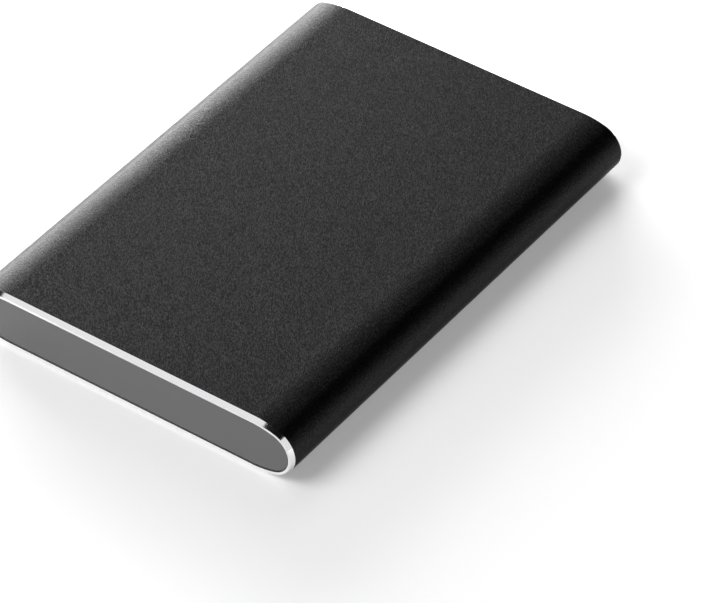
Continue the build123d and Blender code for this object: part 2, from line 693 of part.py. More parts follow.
# Swing arm: hub on the pivot, a plate above and below the disc, and a fork for the coil
with BuildPart() as swing_arm:
    plate_length = ARM_REACH - SUSPENSION_LENGTH + ARM_LAP
    with BuildSketch(arm_level(lower_arm)):
        Circle(ARM_HUB_RADIUS)
    extrude(amount=arm_top - lower_arm)
    for plate_bottom in (lower_arm, upper_arm):
        with BuildSketch(arm_level(plate_bottom)):
            with BuildLine():
                Polyline(
                    (0, ARM_ROOT_WIDTH / 2),
                    (plate_length, ARM_TIP_WIDTH / 2),
                    (plate_length, -ARM_TIP_WIDTH / 2),
                    (0, -ARM_ROOT_WIDTH / 2),
                    close=True,
                )
            make_face()
        extrude(amount=ARM_THICKNESS)
    coil_mean_radius = (COIL_INNER_RADIUS + COIL_OUTER_RADIUS) / 2
    prong_angle = degrees(FORK_PRONG / coil_mean_radius)
    glue_angle = degrees(GLUE_GAP / COIL_INNER_RADIUS)
    with BuildSketch(arm_level(coil_bottom)):
        fork_half_angle = COIL_HALF_ANGLE + glue_angle + prong_angle
        add(ring_piece(PIVOT_SLEEVE_RADIUS, COIL_OUTER_RADIUS, COIL_ANGLE, fork_half_angle))
        coil_seat = ring_piece(
            COIL_INNER_RADIUS - GLUE_GAP,
            YOKE_OUTER_RADIUS,
            COIL_ANGLE,
            COIL_HALF_ANGLE + glue_angle,
        )
        add(coil_seat, mode=Mode.SUBTRACT)
    extrude(amount=COIL_THICKNESS)
    with BuildSketch(arm_level(lower_arm)):
        Circle(PIVOT_SLEEVE_RADIUS + FIT_GAP)
    extrude(amount=arm_top - lower_arm, mode=Mode.SUBTRACT)
swing_arm.part.label = "swing_arm"
export_step(swing_arm.part, "parts/swing_arm.step")

# Voice coil in the fork
with BuildPart() as voice_coil:
    leg_angle = degrees(COIL_LEG / coil_mean_radius)
    with BuildSketch(arm_level(coil_bottom)):
        add(ring_piece(COIL_INNER_RADIUS, COIL_OUTER_RADIUS, COIL_ANGLE, COIL_HALF_ANGLE))
        coil_eye = ring_piece(
            COIL_INNER_RADIUS + COIL_LEG,
            COIL_OUTER_RADIUS - COIL_LEG,
            COIL_ANGLE,
            COIL_HALF_ANGLE - leg_angle,
        )
        add(coil_eye, mode=Mode.SUBTRACT)
    extrude(amount=COIL_THICKNESS)
voice_coil.part.label = "voice_coil"
export_step(voice_coil.part, "parts/voice_coil.step")

# Bearing sleeve in the arm's hub
with BuildPart() as pivot_bearing:
    with BuildSketch(arm_level(lower_arm)):
        Circle(PIVOT_SLEEVE_RADIUS)
        Circle(PIVOT_RADIUS + RUNNING_GAP, mode=Mode.SUBTRACT)
    extrude(amount=arm_top - lower_arm)
pivot_bearing.part.label = "pivot_bearing"
export_step(pivot_bearing.part, "parts/pivot_bearing.step")

# Suspensions: a tapered spring on each arm plate, ending in the tab that rides up the ramp
with BuildPart() as head_suspensions:
    for spring_bottom in (lower_suspension, upper_suspension):
        with BuildSketch(arm_level(spring_bottom)):
            with BuildLine():
                root_x = ARM_REACH - SUSPENSION_LENGTH
                neck_x = ARM_REACH + SLIDER_LENGTH / 2
                Polyline(
                    (root_x, 0),
                    (root_x, SUSPENSION_WIDTH / 2),
                    (root_x + ARM_LAP, SUSPENSION_WIDTH / 2),
                    (neck_x, SUSPENSION_NECK / 2),
                    (neck_x, TAB_WIDTH / 2),
                    (ARM_REACH + TAB_LENGTH, TAB_WIDTH / 2),
                    (ARM_REACH + TAB_LENGTH, 0),
                )
                mirror(about=Plane.XZ)
            make_face()
        extrude(amount=SUSPENSION_THICKNESS)
head_suspensions.part.label = "head_suspensions"
export_step(head_suspensions.part, "parts/head_suspensions.step")

# A slider with its head on each suspension
with BuildPart() as head_sliders:
    for slider_bottom in (lower_slider, upper_slider):
        with BuildSketch(arm_level(slider_bottom)):
            with Locations((ARM_REACH, 0)):
                Rectangle(SLIDER_LENGTH, SLIDER_WIDTH)
        extrude(amount=SLIDER_THICKNESS)
head_sliders.part.label = "head_sliders"
export_step(head_sliders.part, "parts/head_sliders.step")

# Pivot post
with BuildPart() as pivot_post:
    with Locations((pivot_x, pivot_y, deck_top)):
        Cylinder(PIVOT_RADIUS, cover_bottom - deck_top, align=STANDING)
pivot_post.part.label = "pivot_post"
export_step(pivot_post.part, "parts/pivot_post.step")

# Yokes above and below the coil
yoke_outline = ring_piece(YOKE_INNER_RADIUS, YOKE_OUTER_RADIUS, coil_middle, YOKE_HALF_ANGLE)
with BuildPart() as lower_yoke:
    with BuildSketch(pivot_level(deck_top)):
        add(yoke_outline)
    extrude(amount=yoke_thickness)
lower_yoke.part.label = "lower_yoke"
export_step(lower_yoke.part, "parts/lower_yoke.step")

with BuildPart() as upper_yoke:
    with BuildSketch(pivot_level(upper_yoke_bottom)):
        add(yoke_outline)
    extrude(amount=yoke_thickness)
upper_yoke.part.label = "upper_yoke"
export_step(upper_yoke.part, "parts/upper_yoke.step")

# Posts that hold the yokes apart, outside the coil's reach
with BuildPart() as yoke_posts:
    post_radius = YOKE_OUTER_RADIUS - YOKE_POST_SIDE / 2
    with BuildSketch(pivot_level(lower_magnet)):
        for turn in (coil_middle - YOKE_POST_ANGLE, coil_middle + YOKE_POST_ANGLE):
            with Locations(Location((0, 0, 0), (0, 0, turn))):
                with Locations((post_radius, 0)):
                    Rectangle(YOKE_POST_SIDE, YOKE_POST_SIDE)
    extrude(amount=upper_yoke_bottom - lower_magnet)
yoke_posts.part.label = "yoke_posts"
export_step(yoke_posts.part, "parts/yoke_posts.step")

# Magnets on the yokes' inner faces
with BuildPart() as yoke_magnets:
    magnet_outline = ring_piece(
        YOKE_INNER_RADIUS + MAGNET_MARGIN,
        COIL_OUTER_RADIUS - MAGNET_MARGIN,
        coil_middle,
        COIL_HALF_ANGLE + swing / 2,
    )
    for magnet_bottom in (lower_magnet, upper_magnet):
        with BuildSketch(pivot_level(magnet_bottom)):
            add(magnet_outline)
        extrude(amount=MAGNET_THICKNESS)
yoke_magnets.part.label = "yoke_magnets"
export_step(yoke_magnets.part, "parts/yoke_magnets.step")

# Ramp: a stand beside the disc, with a tongue that carries the parked tabs
with BuildPart() as load_ramp:
    tongue_start = ARM_REACH + SLIDER_LENGTH
    stand_start = ARM_REACH + TAB_LENGTH + RAMP_END_GAP
    tongue_bottom = lower_slider + RAMP_GAP
    tongue_top = upper_suspension - RAMP_GAP
    with BuildSketch(arm_level(tongue_bottom)):
        with Locations((tongue_start, 0)):
            Rectangle(stand_start - tongue_start, RAMP_WIDTH, align=(Align.MIN, Align.CENTER))
    extrude(amount=tongue_top - tongue_bottom)
    with BuildSketch(arm_level(deck_top)):
        with Locations((stand_start, 0)):
            Rectangle(RAMP_STAND_LENGTH, RAMP_STAND_WIDTH, align=(Align.MIN, Align.CENTER))
    extrude(amount=tongue_top - deck_top)
load_ramp.part.label = "load_ramp"
export_step(load_ramp.part, "parts/load_ramp.step")

# Air filter in the corner beyond the ramp
with BuildPart() as air_filter:
    with BuildSketch(level(deck_top)):
        with Locations((strip_left + POCKET_GAP, strip_top - POCKET_GAP)):
            Rectangle(FILTER_WIDTH, FILTER_LENGTH, align=(Align.MIN, Align.MAX))
    extrude(amount=FILTER_HEIGHT)
air_filter.part.label = "air_filter"
export_step(air_filter.part, "parts/air_filter.step")

# Drive board in the pocket under the casting
with BuildPart() as drive_board:
    with BuildSketch(level(board_face)):
        with Locations((0, drive_board_front)):
            Rectangle(drive_board_width, drive_board_length, align=(Align.CENTER, Align.MIN))
    extrude(amount=DRIVE_BOARD_THICKNESS)
drive_board.part.label = "drive_board"
export_step(drive_board.part, "parts/drive_board.step")

# Chips on the drive board, in a row
with BuildPart() as controller_chip:
    with Locations((0, drive_board_middle, board_top)):
        Box(CONTROLLER_SIDE, CONTROLLER_SIDE, CHIP_HEIGHT, align=STANDING)
controller_chip.part.label = "controller_chip"
export_step(controller_chip.part, "parts/controller_chip.step")

with BuildPart() as motor_driver_chip:
    with Locations((-CHIP_SPACING, drive_board_middle, board_top)):
        Box(MOTOR_CHIP_SIDE, MOTOR_CHIP_SIDE, CHIP_HEIGHT, align=STANDING)
motor_driver_chip.part.label = "motor_driver_chip"
export_step(motor_driver_chip.part, "parts/motor_driver_chip.step")

with BuildPart() as memory_chip:
    with Locations((CHIP_SPACING, drive_board_middle, board_top)):
        Box(MEMORY_WIDTH, MEMORY_LENGTH, CHIP_HEIGHT, align=STANDING)
memory_chip.part.label = "memory_chip"
export_step(memory_chip.part, "parts/memory_chip.step")

# Drive plug: shroud on the board's end, with the signal and the power tongue in its mouth
with BuildPart() as drive_plug:
    with BuildSketch(level(board_top)):
        with Locations((PLUG_OFFSET, drive_rear)):
            Rectangle(PLUG_WIDTH, PLUG_DEPTH - PLUG_GAP, align=(Align.CENTER, Align.MAX))
    extrude(amount=PLUG_HEIGHT)
    with BuildSketch(across(drive_rear)):
        with Locations((PLUG_OFFSET, plug_z - middle_z)):
            Rectangle(MOUTH_WIDTH, MOUTH_HEIGHT)
        for tongue_x, tongue_width in tongues:
            with Locations((tongue_x, plug_z - middle_z)):
                Rectangle(tongue_width, TONGUE_THICKNESS, mode=Mode.SUBTRACT)
    extrude(amount=MOUTH_DEPTH, mode=Mode.SUBTRACT)
drive_plug.part.label = "drive_plug"
export_step(drive_plug.part, "parts/drive_plug.step")

# Contacts along the plug's tongues
with BuildPart() as drive_plug_contacts:
    with BuildSketch(level(tongue_face)):
        for row_x, row_count in contact_rows:
            with Locations((row_x, drive_rear - CONTACT_SETBACK)):
                with GridLocations(CONTACT_PITCH, 0, row_count, 1):
                    Rectangle(CONTACT_WIDTH, contact_length, align=(Align.CENTER, Align.MAX))
    extrude(amount=CONTACT_THICKNESS)
drive_plug_contacts.part.label = "drive_plug_contacts"
export_step(drive_plug_contacts.part, "parts/drive_plug_contacts.step")

# Socket that takes the plug: slotted nose in the plug's mouth, and body hooked over the bridge board
with BuildPart() as sata_socket:
    with BuildSketch(across(socket_front)):
        with Locations((PLUG_OFFSET, plug_z - middle_z)):
            Rectangle(MOUTH_WIDTH - 2 * MOUTH_GAP, MOUTH_HEIGHT - 2 * MOUTH_GAP)
    extrude(amount=nose_length)
    with BuildSketch(across(socket_front)):
        with Locations((PLUG_OFFSET, plug_z - middle_z)):
            Rectangle(SOCKET_BODY_WIDTH, SOCKET_BODY_HEIGHT)
    extrude(amount=-SOCKET_BODY_DEPTH)
    with BuildSketch(across(socket_front - nose_length)):
        for tongue_x, tongue_width in tongues:
            with Locations((tongue_x, plug_z - middle_z)):
                Rectangle(tongue_width + 2 * TONGUE_GAP, TONGUE_THICKNESS + 2 * TONGUE_GAP)
    extrude(amount=-nose_length, mode=Mode.SUBTRACT)
    with BuildSketch(level(bridge_top)):
        with Locations((PLUG_OFFSET, bridge_front - PLUG_GAP)):
            Rectangle(SOCKET_BODY_WIDTH, SOCKET_BODY_DEPTH, align=(Align.CENTER, Align.MIN))
    extrude(amount=-SOCKET_BODY_HEIGHT, mode=Mode.SUBTRACT)
sata_socket.part.label = "sata_socket"
export_step(sata_socket.part, "parts/sata_socket.step")

# Bridge board, with slots for the cable socket's legs
with BuildPart() as bridge_board:
    with BuildSketch(level(bridge_bottom)):
        with Locations((0, bridge_front)):
            Rectangle(BRIDGE_WIDTH, bridge_length, align=(Align.CENTER, Align.MIN))
        with Locations((0, usb_leg_y)):
            with GridLocations(2 * usb_leg_x, USB_LEG_SPACING, 2, 2):
                Rectangle(USB_WALL + 2 * LEG_GAP, USB_LEG_LENGTH + 2 * LEG_GAP, mode=Mode.SUBTRACT)
    extrude(amount=BRIDGE_THICKNESS)
bridge_board.part.label = "bridge_board"
export_step(bridge_board.part, "parts/bridge_board.step")

# Cable socket's steel shell: drawn tube with a closed back and four legs through the board
with BuildPart() as usb_socket_shell:
    with BuildSketch(across(usb_mouth)):
        SlotOverall(USB_WIDTH, USB_HEIGHT)
    extrude(amount=USB_LENGTH)
    with BuildSketch(across(usb_mouth)):
        SlotOverall(USB_WIDTH - 2 * USB_WALL, USB_HEIGHT - 2 * USB_WALL)
    extrude(amount=USB_LENGTH - USB_WALL, mode=Mode.SUBTRACT)
    with BuildSketch(level(bridge_bottom)):
        with Locations((0, usb_leg_y)):
            with GridLocations(2 * usb_leg_x, USB_LEG_SPACING, 2, 2):
                Rectangle(USB_WALL, USB_LEG_LENGTH)
    extrude(amount=middle_z - bridge_bottom)
usb_socket_shell.part.label = "usb_socket_shell"
export_step(usb_socket_shell.part, "parts/usb_socket_shell.step")

# Cable socket's moulded insulator: a plug in the back of the shell, with the tongue
with BuildPart() as usb_socket_insulator:
    with BuildSketch(across(usb_back + USB_WALL)):
        SlotOverall(USB_WIDTH - 2 * (USB_WALL + FIT_GAP), USB_HEIGHT - 2 * (USB_WALL + FIT_GAP))
    extrude(amount=-USB_BACK)
    with BuildSketch(across(usb_mouth - USB_TONGUE_SETBACK)):
        Rectangle(USB_TONGUE_WIDTH, USB_TONGUE_THICKNESS)
    extrude(amount=USB_LENGTH - USB_TONGUE_SETBACK - USB_WALL)
usb_socket_insulator.part.label = "usb_socket_insulator"
export_step(usb_socket_insulator.part, "parts/usb_socket_insulator.step")

# Cable socket's contacts, a row on each face of the tongue
with BuildPart() as usb_socket_contacts:
    contact_lift = (USB_TONGUE_THICKNESS + USB_CONTACT_THICKNESS) / 2
    with BuildSketch(across(usb_mouth - 2 * USB_TONGUE_SETBACK)):
        with GridLocations(USB_PITCH, 2 * contact_lift, USB_CONTACTS, 2):
            Rectangle(USB_CONTACT_WIDTH, USB_CONTACT_THICKNESS)
    extrude(amount=USB_CONTACT_LENGTH)
usb_socket_contacts.part.label = "usb_socket_contacts"
export_step(usb_socket_contacts.part, "parts/usb_socket_contacts.step")

# Parts on the bridge board, on each side of the cable socket
with BuildPart() as clock_crystal:
    with Locations((crystal_x, parts_y, bridge_top)):
        Box(CRYSTAL_WIDTH, CRYSTAL_LENGTH, CRYSTAL_HEIGHT, align=STANDING)
clock_crystal.part.label = "clock_crystal"
export_step(clock_crystal.part, "parts/clock_crystal.step")

with BuildPart() as bridge_chip:
    with Locations((chip_x, parts_y, bridge_top)):
        Box(BRIDGE_CHIP_SIDE, BRIDGE_CHIP_SIDE, BRIDGE_CHIP_HEIGHT, align=STANDING)
bridge_chip.part.label = "bridge_chip"
export_step(bridge_chip.part, "parts/bridge_chip.step")

with BuildPart() as board_capacitors:
    with Locations((capacitor_x, parts_y, bridge_top)):
        with GridLocations(2 * CAPACITOR_WIDTH, 2 * CAPACITOR_WIDTH + CAPACITOR_LENGTH, 2, 2):
            Box(CAPACITOR_WIDTH, CAPACITOR_LENGTH, CAPACITOR_HEIGHT, align=STANDING)
board_capacitors.part.label = "board_capacitors"
export_step(board_capacitors.part, "parts/board_capacitors.step")

with BuildPart() as power_inductor:
    with Locations((inductor_x, parts_y, bridge_top)):
        Box(INDUCTOR_SIDE, INDUCTOR_SIDE, INDUCTOR_HEIGHT, align=STANDING)
    chamfer(power_inductor.edges().filter_by(Axis.Z), INDUCTOR_CORNER)
power_inductor.part.label = "power_inductor"
export_step(power_inductor.part, "parts/power_inductor.step")

with BuildPart() as status_lamp:
    with Locations((LAMP_OFFSET, bridge_rear - LAMP_LENGTH / 2, bridge_top)):
        Box(LAMP_WIDTH, LAMP_LENGTH, LAMP_HEIGHT, align=STANDING)
status_lamp.part.label = "status_lamp"
export_step(status_lamp.part, "parts/status_lamp.step")

print(f"case {case_width:.3f} x {case_length:.3f} x {case_height:.3f}")
print(f"drive {drive_width:.3f} x {drive_length:.3f} x {drive_top - drive_bottom:.3f}")
print(f"spindle axis at {spindle_x:.4f}, {spindle_y:.4f}")
print(f"pivot axis at {pivot_x:.4f}, {pivot_y:.4f}, arm swing {swing:.3f} degrees")
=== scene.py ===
# %% [markdown]
# A portable hard drive, dressed for its picture
#
# The object is a disc drive on a tray, slid into a black aluminium sleeve that is closed by a grey
# panel at each end. The solids come from a CAD frame in model.glb, so no piece is placed by eye here:
# this lesson gives each solid the surface of the real thing, sweeps a finer sleeve over the CAD one, adds
# the small repeated pieces, and sets up the floor, the light and the camera.

# %% Load the frame
import json
import math

import bmesh
import bpy
from mathutils import Matrix, Vector

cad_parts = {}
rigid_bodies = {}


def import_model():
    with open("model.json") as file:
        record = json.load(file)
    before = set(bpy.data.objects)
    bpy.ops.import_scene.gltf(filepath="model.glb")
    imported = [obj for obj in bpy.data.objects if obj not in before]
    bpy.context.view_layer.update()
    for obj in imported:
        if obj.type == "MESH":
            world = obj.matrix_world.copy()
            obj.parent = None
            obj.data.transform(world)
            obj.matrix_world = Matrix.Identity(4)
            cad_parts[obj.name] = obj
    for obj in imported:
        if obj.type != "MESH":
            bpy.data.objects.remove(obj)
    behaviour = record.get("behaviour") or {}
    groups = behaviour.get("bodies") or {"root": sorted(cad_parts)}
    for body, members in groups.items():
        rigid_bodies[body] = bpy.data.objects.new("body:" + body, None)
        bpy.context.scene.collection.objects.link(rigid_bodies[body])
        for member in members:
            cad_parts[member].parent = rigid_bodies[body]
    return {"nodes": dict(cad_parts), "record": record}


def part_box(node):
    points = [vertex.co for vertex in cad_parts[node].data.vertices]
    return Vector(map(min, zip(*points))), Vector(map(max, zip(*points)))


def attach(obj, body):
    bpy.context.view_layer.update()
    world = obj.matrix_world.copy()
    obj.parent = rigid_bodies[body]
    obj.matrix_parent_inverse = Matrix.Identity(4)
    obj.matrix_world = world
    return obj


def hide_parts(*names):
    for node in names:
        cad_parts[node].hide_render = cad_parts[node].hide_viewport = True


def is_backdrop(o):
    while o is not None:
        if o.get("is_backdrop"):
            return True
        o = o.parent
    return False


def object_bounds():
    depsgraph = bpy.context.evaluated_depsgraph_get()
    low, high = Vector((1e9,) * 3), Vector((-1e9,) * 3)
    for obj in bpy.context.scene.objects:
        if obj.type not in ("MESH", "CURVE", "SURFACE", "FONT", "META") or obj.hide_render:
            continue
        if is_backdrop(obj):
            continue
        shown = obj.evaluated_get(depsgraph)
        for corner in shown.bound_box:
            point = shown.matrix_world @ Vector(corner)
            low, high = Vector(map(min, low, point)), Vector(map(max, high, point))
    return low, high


for leftover in list(bpy.data.objects):
    bpy.data.objects.remove(leftover)
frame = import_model()
nodes = frame["nodes"]
cad_low, cad_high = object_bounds()
MM = 0.001


def in_mm(lengths):
    """Lengths in millimetres, rounded for printing."""
    return [round(length / MM, 3) for length in lengths]


print("nodes", len(nodes), "case in mm", in_mm(cad_high - cad_low))

# %% [markdown]
# The camera
#
# A product picture of a flat box is taken from far away with a long lens, so that parallel edges stay
# nearly parallel. The camera stands to the right of the front panel and looks down on the case. Its
# direction is written as an azimuth and an elevation, because those two angles can be read off a picture
# more easily than a rotation, and the rotation matrix is then built from them. The case is not in the
# middle of the picture, so the camera aims at a point beside the middle of the case. The lens follows
# from the size of one pixel at the film.

# %% Camera
IMAGE_WIDTH_PX = 705
FOCAL_LENGTH_PX = 4722.5
AZIMUTH = math.radians(35.525)
ELEVATION = math.radians(41.209)
ROLL = math.radians(0.241)
DISTANCE = 947.78 * MM
AIM_OFFSET = Vector((21.743, -13.091, 0)) * MM
case_middle = (cad_low + cad_high) / 2

back = Vector((
    math.sin(AZIMUTH) * math.cos(ELEVATION),
    -math.cos(AZIMUTH) * math.cos(ELEVATION),
    math.sin(ELEVATION),
))
level_right = Vector((math.cos(AZIMUTH), math.sin(AZIMUTH), 0))
level_up = back.cross(level_right)
right = level_right * math.cos(ROLL) + level_up * math.sin(ROLL)
up = level_up * math.cos(ROLL) - level_right * math.sin(ROLL)
camera_place = case_middle + AIM_OFFSET + back * DISTANCE
camera_turn = Matrix((right, up, back)).transposed()

lens = bpy.data.cameras.new("long_lens")
lens.lens = lens.sensor_width * FOCAL_LENGTH_PX / IMAGE_WIDTH_PX
camera = bpy.data.objects.new("camera", lens)
camera.matrix_world = Matrix.Translation(camera_place) @ camera_turn.to_4x4()
bpy.context.scene.collection.objects.link(camera)
bpy.context.scene.camera = camera
print("lens in mm", round(lens.lens, 1), "camera in mm", in_mm(camera_place))

# %% [markdown]
# Building materials from nodes
#
# Every finish below is a Principled shader with three things worked into it: a colour that is not quite
# even, a roughness that is not quite even, and often a fine relief. All of them read Object coordinates
# in metres, so they stay with the piece when it moves. A Mapping node in texture mode divides those
# coordinates by the size of a grain, so each grain is written in millimetres and may be longer along one
# axis than along the others. Noise seldom leaves the middle of its range, so that middle is drawn out
# before it drives a roughness. These few helpers keep each finish short. Numbers that are the same all
# over a surface are set on the shader's own sockets.

# %% Helpers for patterns
NOISE_LOW = 0.3
NOISE_HIGH = 0.7


def new_finish(name):
    """Material with its node tree, its shader and the piece's own coordinates."""
    finish = bpy.data.materials.new(name)
    finish.use_nodes = True
    tree = finish.node_tree
    place = tree.nodes.new("ShaderNodeTexCoord").outputs["Object"]
    return finish, tree, tree.nodes["Principled BSDF"], place


def scaled(tree, place, scale, turn=0.0, centre=(0, 0, 0)):
    """Coordinates counted from a centre, along axes turned about Z, and divided by a scale in metres."""
    mapping = tree.nodes.new("ShaderNodeMapping")
    mapping.vector_type = "TEXTURE"
    mapping.inputs["Location"].default_value = centre
    mapping.inputs["Rotation"].default_value = (0, 0, turn)
    mapping.inputs["Scale"].default_value = scale
    tree.links.new(place, mapping.inputs["Vector"])
    return mapping.outputs["Vector"]


def grain(tree, place, size, detail=2.0, stretch=(1, 1, 1), turn=0.0):
    """Noise from 0 to 1 with spots of about size metres, drawn out by stretch along turned axes."""
    noise = tree.nodes.new("ShaderNodeTexNoise")
    noise.inputs["Scale"].default_value = 1.0
    noise.inputs["Detail"].default_value = detail
    tree.links.new(scaled(tree, place, [size * s for s in stretch], turn), noise.inputs["Vector"])
    return noise.outputs["Fac"]


def spread(tree, pattern, low, high):
    """The middle of a 0 to 1 pattern, drawn out to run from low to high."""
    ramp = tree.nodes.new("ShaderNodeMapRange")
    ramp.inputs["From Min"].default_value = NOISE_LOW
    ramp.inputs["From Max"].default_value = NOISE_HIGH
    ramp.inputs["To Min"].default_value = low
    ramp.inputs["To Max"].default_value = high
    tree.links.new(pattern, ramp.inputs["Value"])
    return ramp.outputs["Result"]


def feed(tree, socket, value):
    """Links a socket to another one, or sets it to a number."""
    if isinstance(value, bpy.types.NodeSocket):
        tree.links.new(value, socket)
    else:
        socket.default_value = value


def number(tree, operation, first, second):
    """Math node on two numbers or sockets."""
    node = tree.nodes.new("ShaderNodeMath")
    node.operation = operation
    feed(tree, node.inputs[0], first)
    feed(tree, node.inputs[1], second)
    return node.outputs[0]


print("noise is drawn out from", NOISE_LOW, "to", NOISE_HIGH)


# %% Helpers that put a pattern on a shader
def two_tone(tree, shader, pattern, dark, light):
    """Base colour that goes from dark to light with a 0 to 1 pattern."""
    mix = tree.nodes.new("ShaderNodeMix")
    mix.data_type = "RGBA"
    mix.inputs["A"].default_value = (*dark, 1)
    mix.inputs["B"].default_value = (*light, 1)
    tree.links.new(pattern, mix.inputs["Factor"])
    tree.links.new(mix.outputs["Result"], shader.inputs["Base Color"])


def tint(tree, shader, pattern, colour, darkest, lightest):
    """Base colour that goes from darkest to lightest times one colour with a 0 to 1 pattern."""
    dark = [part * darkest for part in colour]
    light = [part * lightest for part in colour]
    two_tone(tree, shader, pattern, dark, light)


def roughen(tree, shader, pattern, low, high):
    """Roughness that goes from low to high with the middle of a 0 to 1 pattern."""
    tree.links.new(spread(tree, pattern, low, high), shader.inputs["Roughness"])


def relief(tree, shader, pattern, depth):
    """Raises the surface by up to depth metres where a pattern is 1."""
    bump = tree.nodes.new("ShaderNodeBump")
    bump.inputs["Distance"].default_value = depth
    tree.links.new(pattern, bump.inputs["Height"])
    tree.links.new(bump.outputs["Normal"], shader.inputs["Normal"])


print("helpers for finishes ready")

# %% [markdown]
# Bead-blasted black and the bright cut edge
#
# The sleeve is blasted with fine beads, which leaves tiny dents all over, and then anodised black. The
# dents are the reason why it looks like dry black silk and not like paint. Relief alone could make them,
# but a dent is smaller than a pixel here, and what reaches the eye is a fine speckle of light and shade.
# So the noise, drawn out along the blast, paints that speckle into the colour of a dark metal. Its square
# puts a few painted highlights on the crests and painted shade in the dents between them, and a slight
# relief breaks up the reflections. The dyed layer mirrors less than bare metal where the eye glances
# along it, and for a metal the shader's Specular Tint sets just that.
# After anodising, a diamond tool cuts the ends of the sleeve once more. That lays bare the bright metal on
# the bevel, the rim and the wall of the seat, so these have a second finish with the tool's fine lines.

# %% Finishes of the sleeve
DENT_SIZE = 0.135 * MM
DENT_STRETCH = (1, 4.0, 1)
DENT_DEPTH = 0.03 * MM
BLAST_TURN = math.radians(35)
CREST_HIGHLIGHT_POWER = 2.0
# Dye colour darkened by painted shade in the dents and lightened by painted highlights on their crests.
DYE_AND_DENT_SHADE = (0.0165, 0.0165, 0.0167)
DYE_AND_CREST_HIGHLIGHT = (0.0645, 0.0645, 0.065)
DYE_GLANCING = (0.54, 0.54, 0.54, 1)
TOOL_LINE = 0.02 * MM
TOOL_LINE_STRETCH = (40, 1, 40)
CUT_DARK = (0.80, 0.80, 0.81)
CUT_LIGHT = (0.90, 0.90, 0.91)


def bead_blasted_black():
    finish, tree, shader, place = new_finish("bead_blasted_black")
    speckle = grain(tree, place, DENT_SIZE, 1.0, DENT_STRETCH, BLAST_TURN)
    dents = spread(tree, speckle, 0.0, 1.0)
    # The square of the dents paints highlights on the crests and shade in the dents into the base colour.
    painted_crest_highlights = number(tree, "POWER", dents, CREST_HIGHLIGHT_POWER)
    two_tone(tree, shader, painted_crest_highlights, DYE_AND_DENT_SHADE, DYE_AND_CREST_HIGHLIGHT)
    roughen(tree, shader, dents, low=0.29, high=0.31)
    relief(tree, shader, dents, DENT_DEPTH)
    shader.inputs["Metallic"].default_value = 1.0
    shader.inputs["Specular Tint"].default_value = DYE_GLANCING
    return finish


def diamond_cut():
    finish, tree, shader, place = new_finish("diamond_cut")
    lines = grain(tree, place, TOOL_LINE, 0.0, TOOL_LINE_STRETCH)
    two_tone(tree, shader, lines, CUT_DARK, CUT_LIGHT)
    roughen(tree, shader, lines, low=0.08, high=0.14)
    shader.inputs["Metallic"].default_value = 1.0
    return finish


black_skin = bead_blasted_black()
bright_cut = diamond_cut()
print("sleeve finishes", black_skin.name, bright_cut.name)

# %% [markdown]
# The sleeve
#
# The real sleeve is an extrusion: one section, pushed out in a straight line, then cut at both ends. It
# could be modelled by extruding the section and bevelling the ends, but the bevel, the flat rim and the
# seat of the panel are the same all the way round. So the sleeve is made the other way about. The section
# is a closed curve, and a Geometry Nodes tree sweeps the outline of the wall round it: skin, bevel, rim,
# seat and bore in one go. The section is flat above and below. Each side is a nose between two wide
# shoulders, three arcs that run into each other without a corner.

# %% Section of the sleeve
SHOULDER_EXTRA = 14.4 * MM
NOSE_LESS = 0.58 * MM
ARC_STEP = math.radians(1.5)
half_width = (cad_high.x - cad_low.x) / 2
half_height = (cad_high.z - cad_low.z) / 2
case_length = cad_high.y - cad_low.y


def arc(centre_x, centre_z, radius, start, end):
    """Points of an arc in the section, from one angle to another."""
    steps = max(2, round(abs(end - start) / ARC_STEP))
    angles = [start + (end - start) * i / steps for i in range(steps + 1)]
    return [(centre_x + radius * math.cos(a), centre_z + radius * math.sin(a)) for a in angles]


def section_points():
    """Right half of the section from the top to the bottom, then the left half by symmetry."""
    shoulder = half_height + SHOULDER_EXTRA
    nose = half_height - NOSE_LESS
    turn = math.asin(SHOULDER_EXTRA / (SHOULDER_EXTRA + NOSE_LESS))
    nose_x = half_width - nose
    flat_x = nose_x - (SHOULDER_EXTRA + NOSE_LESS) * math.cos(turn)
    points = arc(flat_x, half_height - shoulder, shoulder, math.pi / 2, turn)
    points += arc(nose_x, 0, nose, turn, -turn)[1:]
    points += arc(flat_x, shoulder - half_height, shoulder, -turn, -math.pi / 2)[1:]
    return points + [(-x, -z) for x, z in points]


section = bpy.data.curves.new("sleeve_section", "CURVE")
section.dimensions = "3D"
outline = section.splines.new("POLY")
places = section_points()
outline.points.add(len(places) - 1)
for point, (x, z) in zip(outline.points, places):
    point.co = (x, 0, z + case_middle.z, 1)
outline.use_cyclic_u = True
print("section points", len(places))

# %% [markdown]
# Geometry Nodes from a script
#
# A Geometry Nodes tree is a recipe: it takes a curve or a few points and returns a mesh. Its sizes are
# inputs with names, so the same recipe serves again with other sizes. The tree could stay on the object
# as a live modifier, but a piece that goes on to other programs has to be a plain mesh. So the last helper
# runs a tree once and keeps what comes out. A modifier knows its inputs by an identifier and not by their
# names, so the helper looks that up first.


# %% Helpers for Geometry Nodes
def new_tree(name, sizes):
    """Geometry Nodes tree with a geometry input and output and one named number for each size."""
    tree = bpy.data.node_groups.new(name, "GeometryNodeTree")
    tree.interface.new_socket("Geometry", in_out="INPUT", socket_type="NodeSocketGeometry")
    tree.interface.new_socket("Geometry", in_out="OUTPUT", socket_type="NodeSocketGeometry")
    for label in sizes:
        tree.interface.new_socket(label, in_out="INPUT", socket_type="NodeSocketFloat")
    print("tree", name, "with inputs", list(sizes))
    return tree, tree.nodes.new("NodeGroupInput"), tree.nodes.new("NodeGroupOutput")


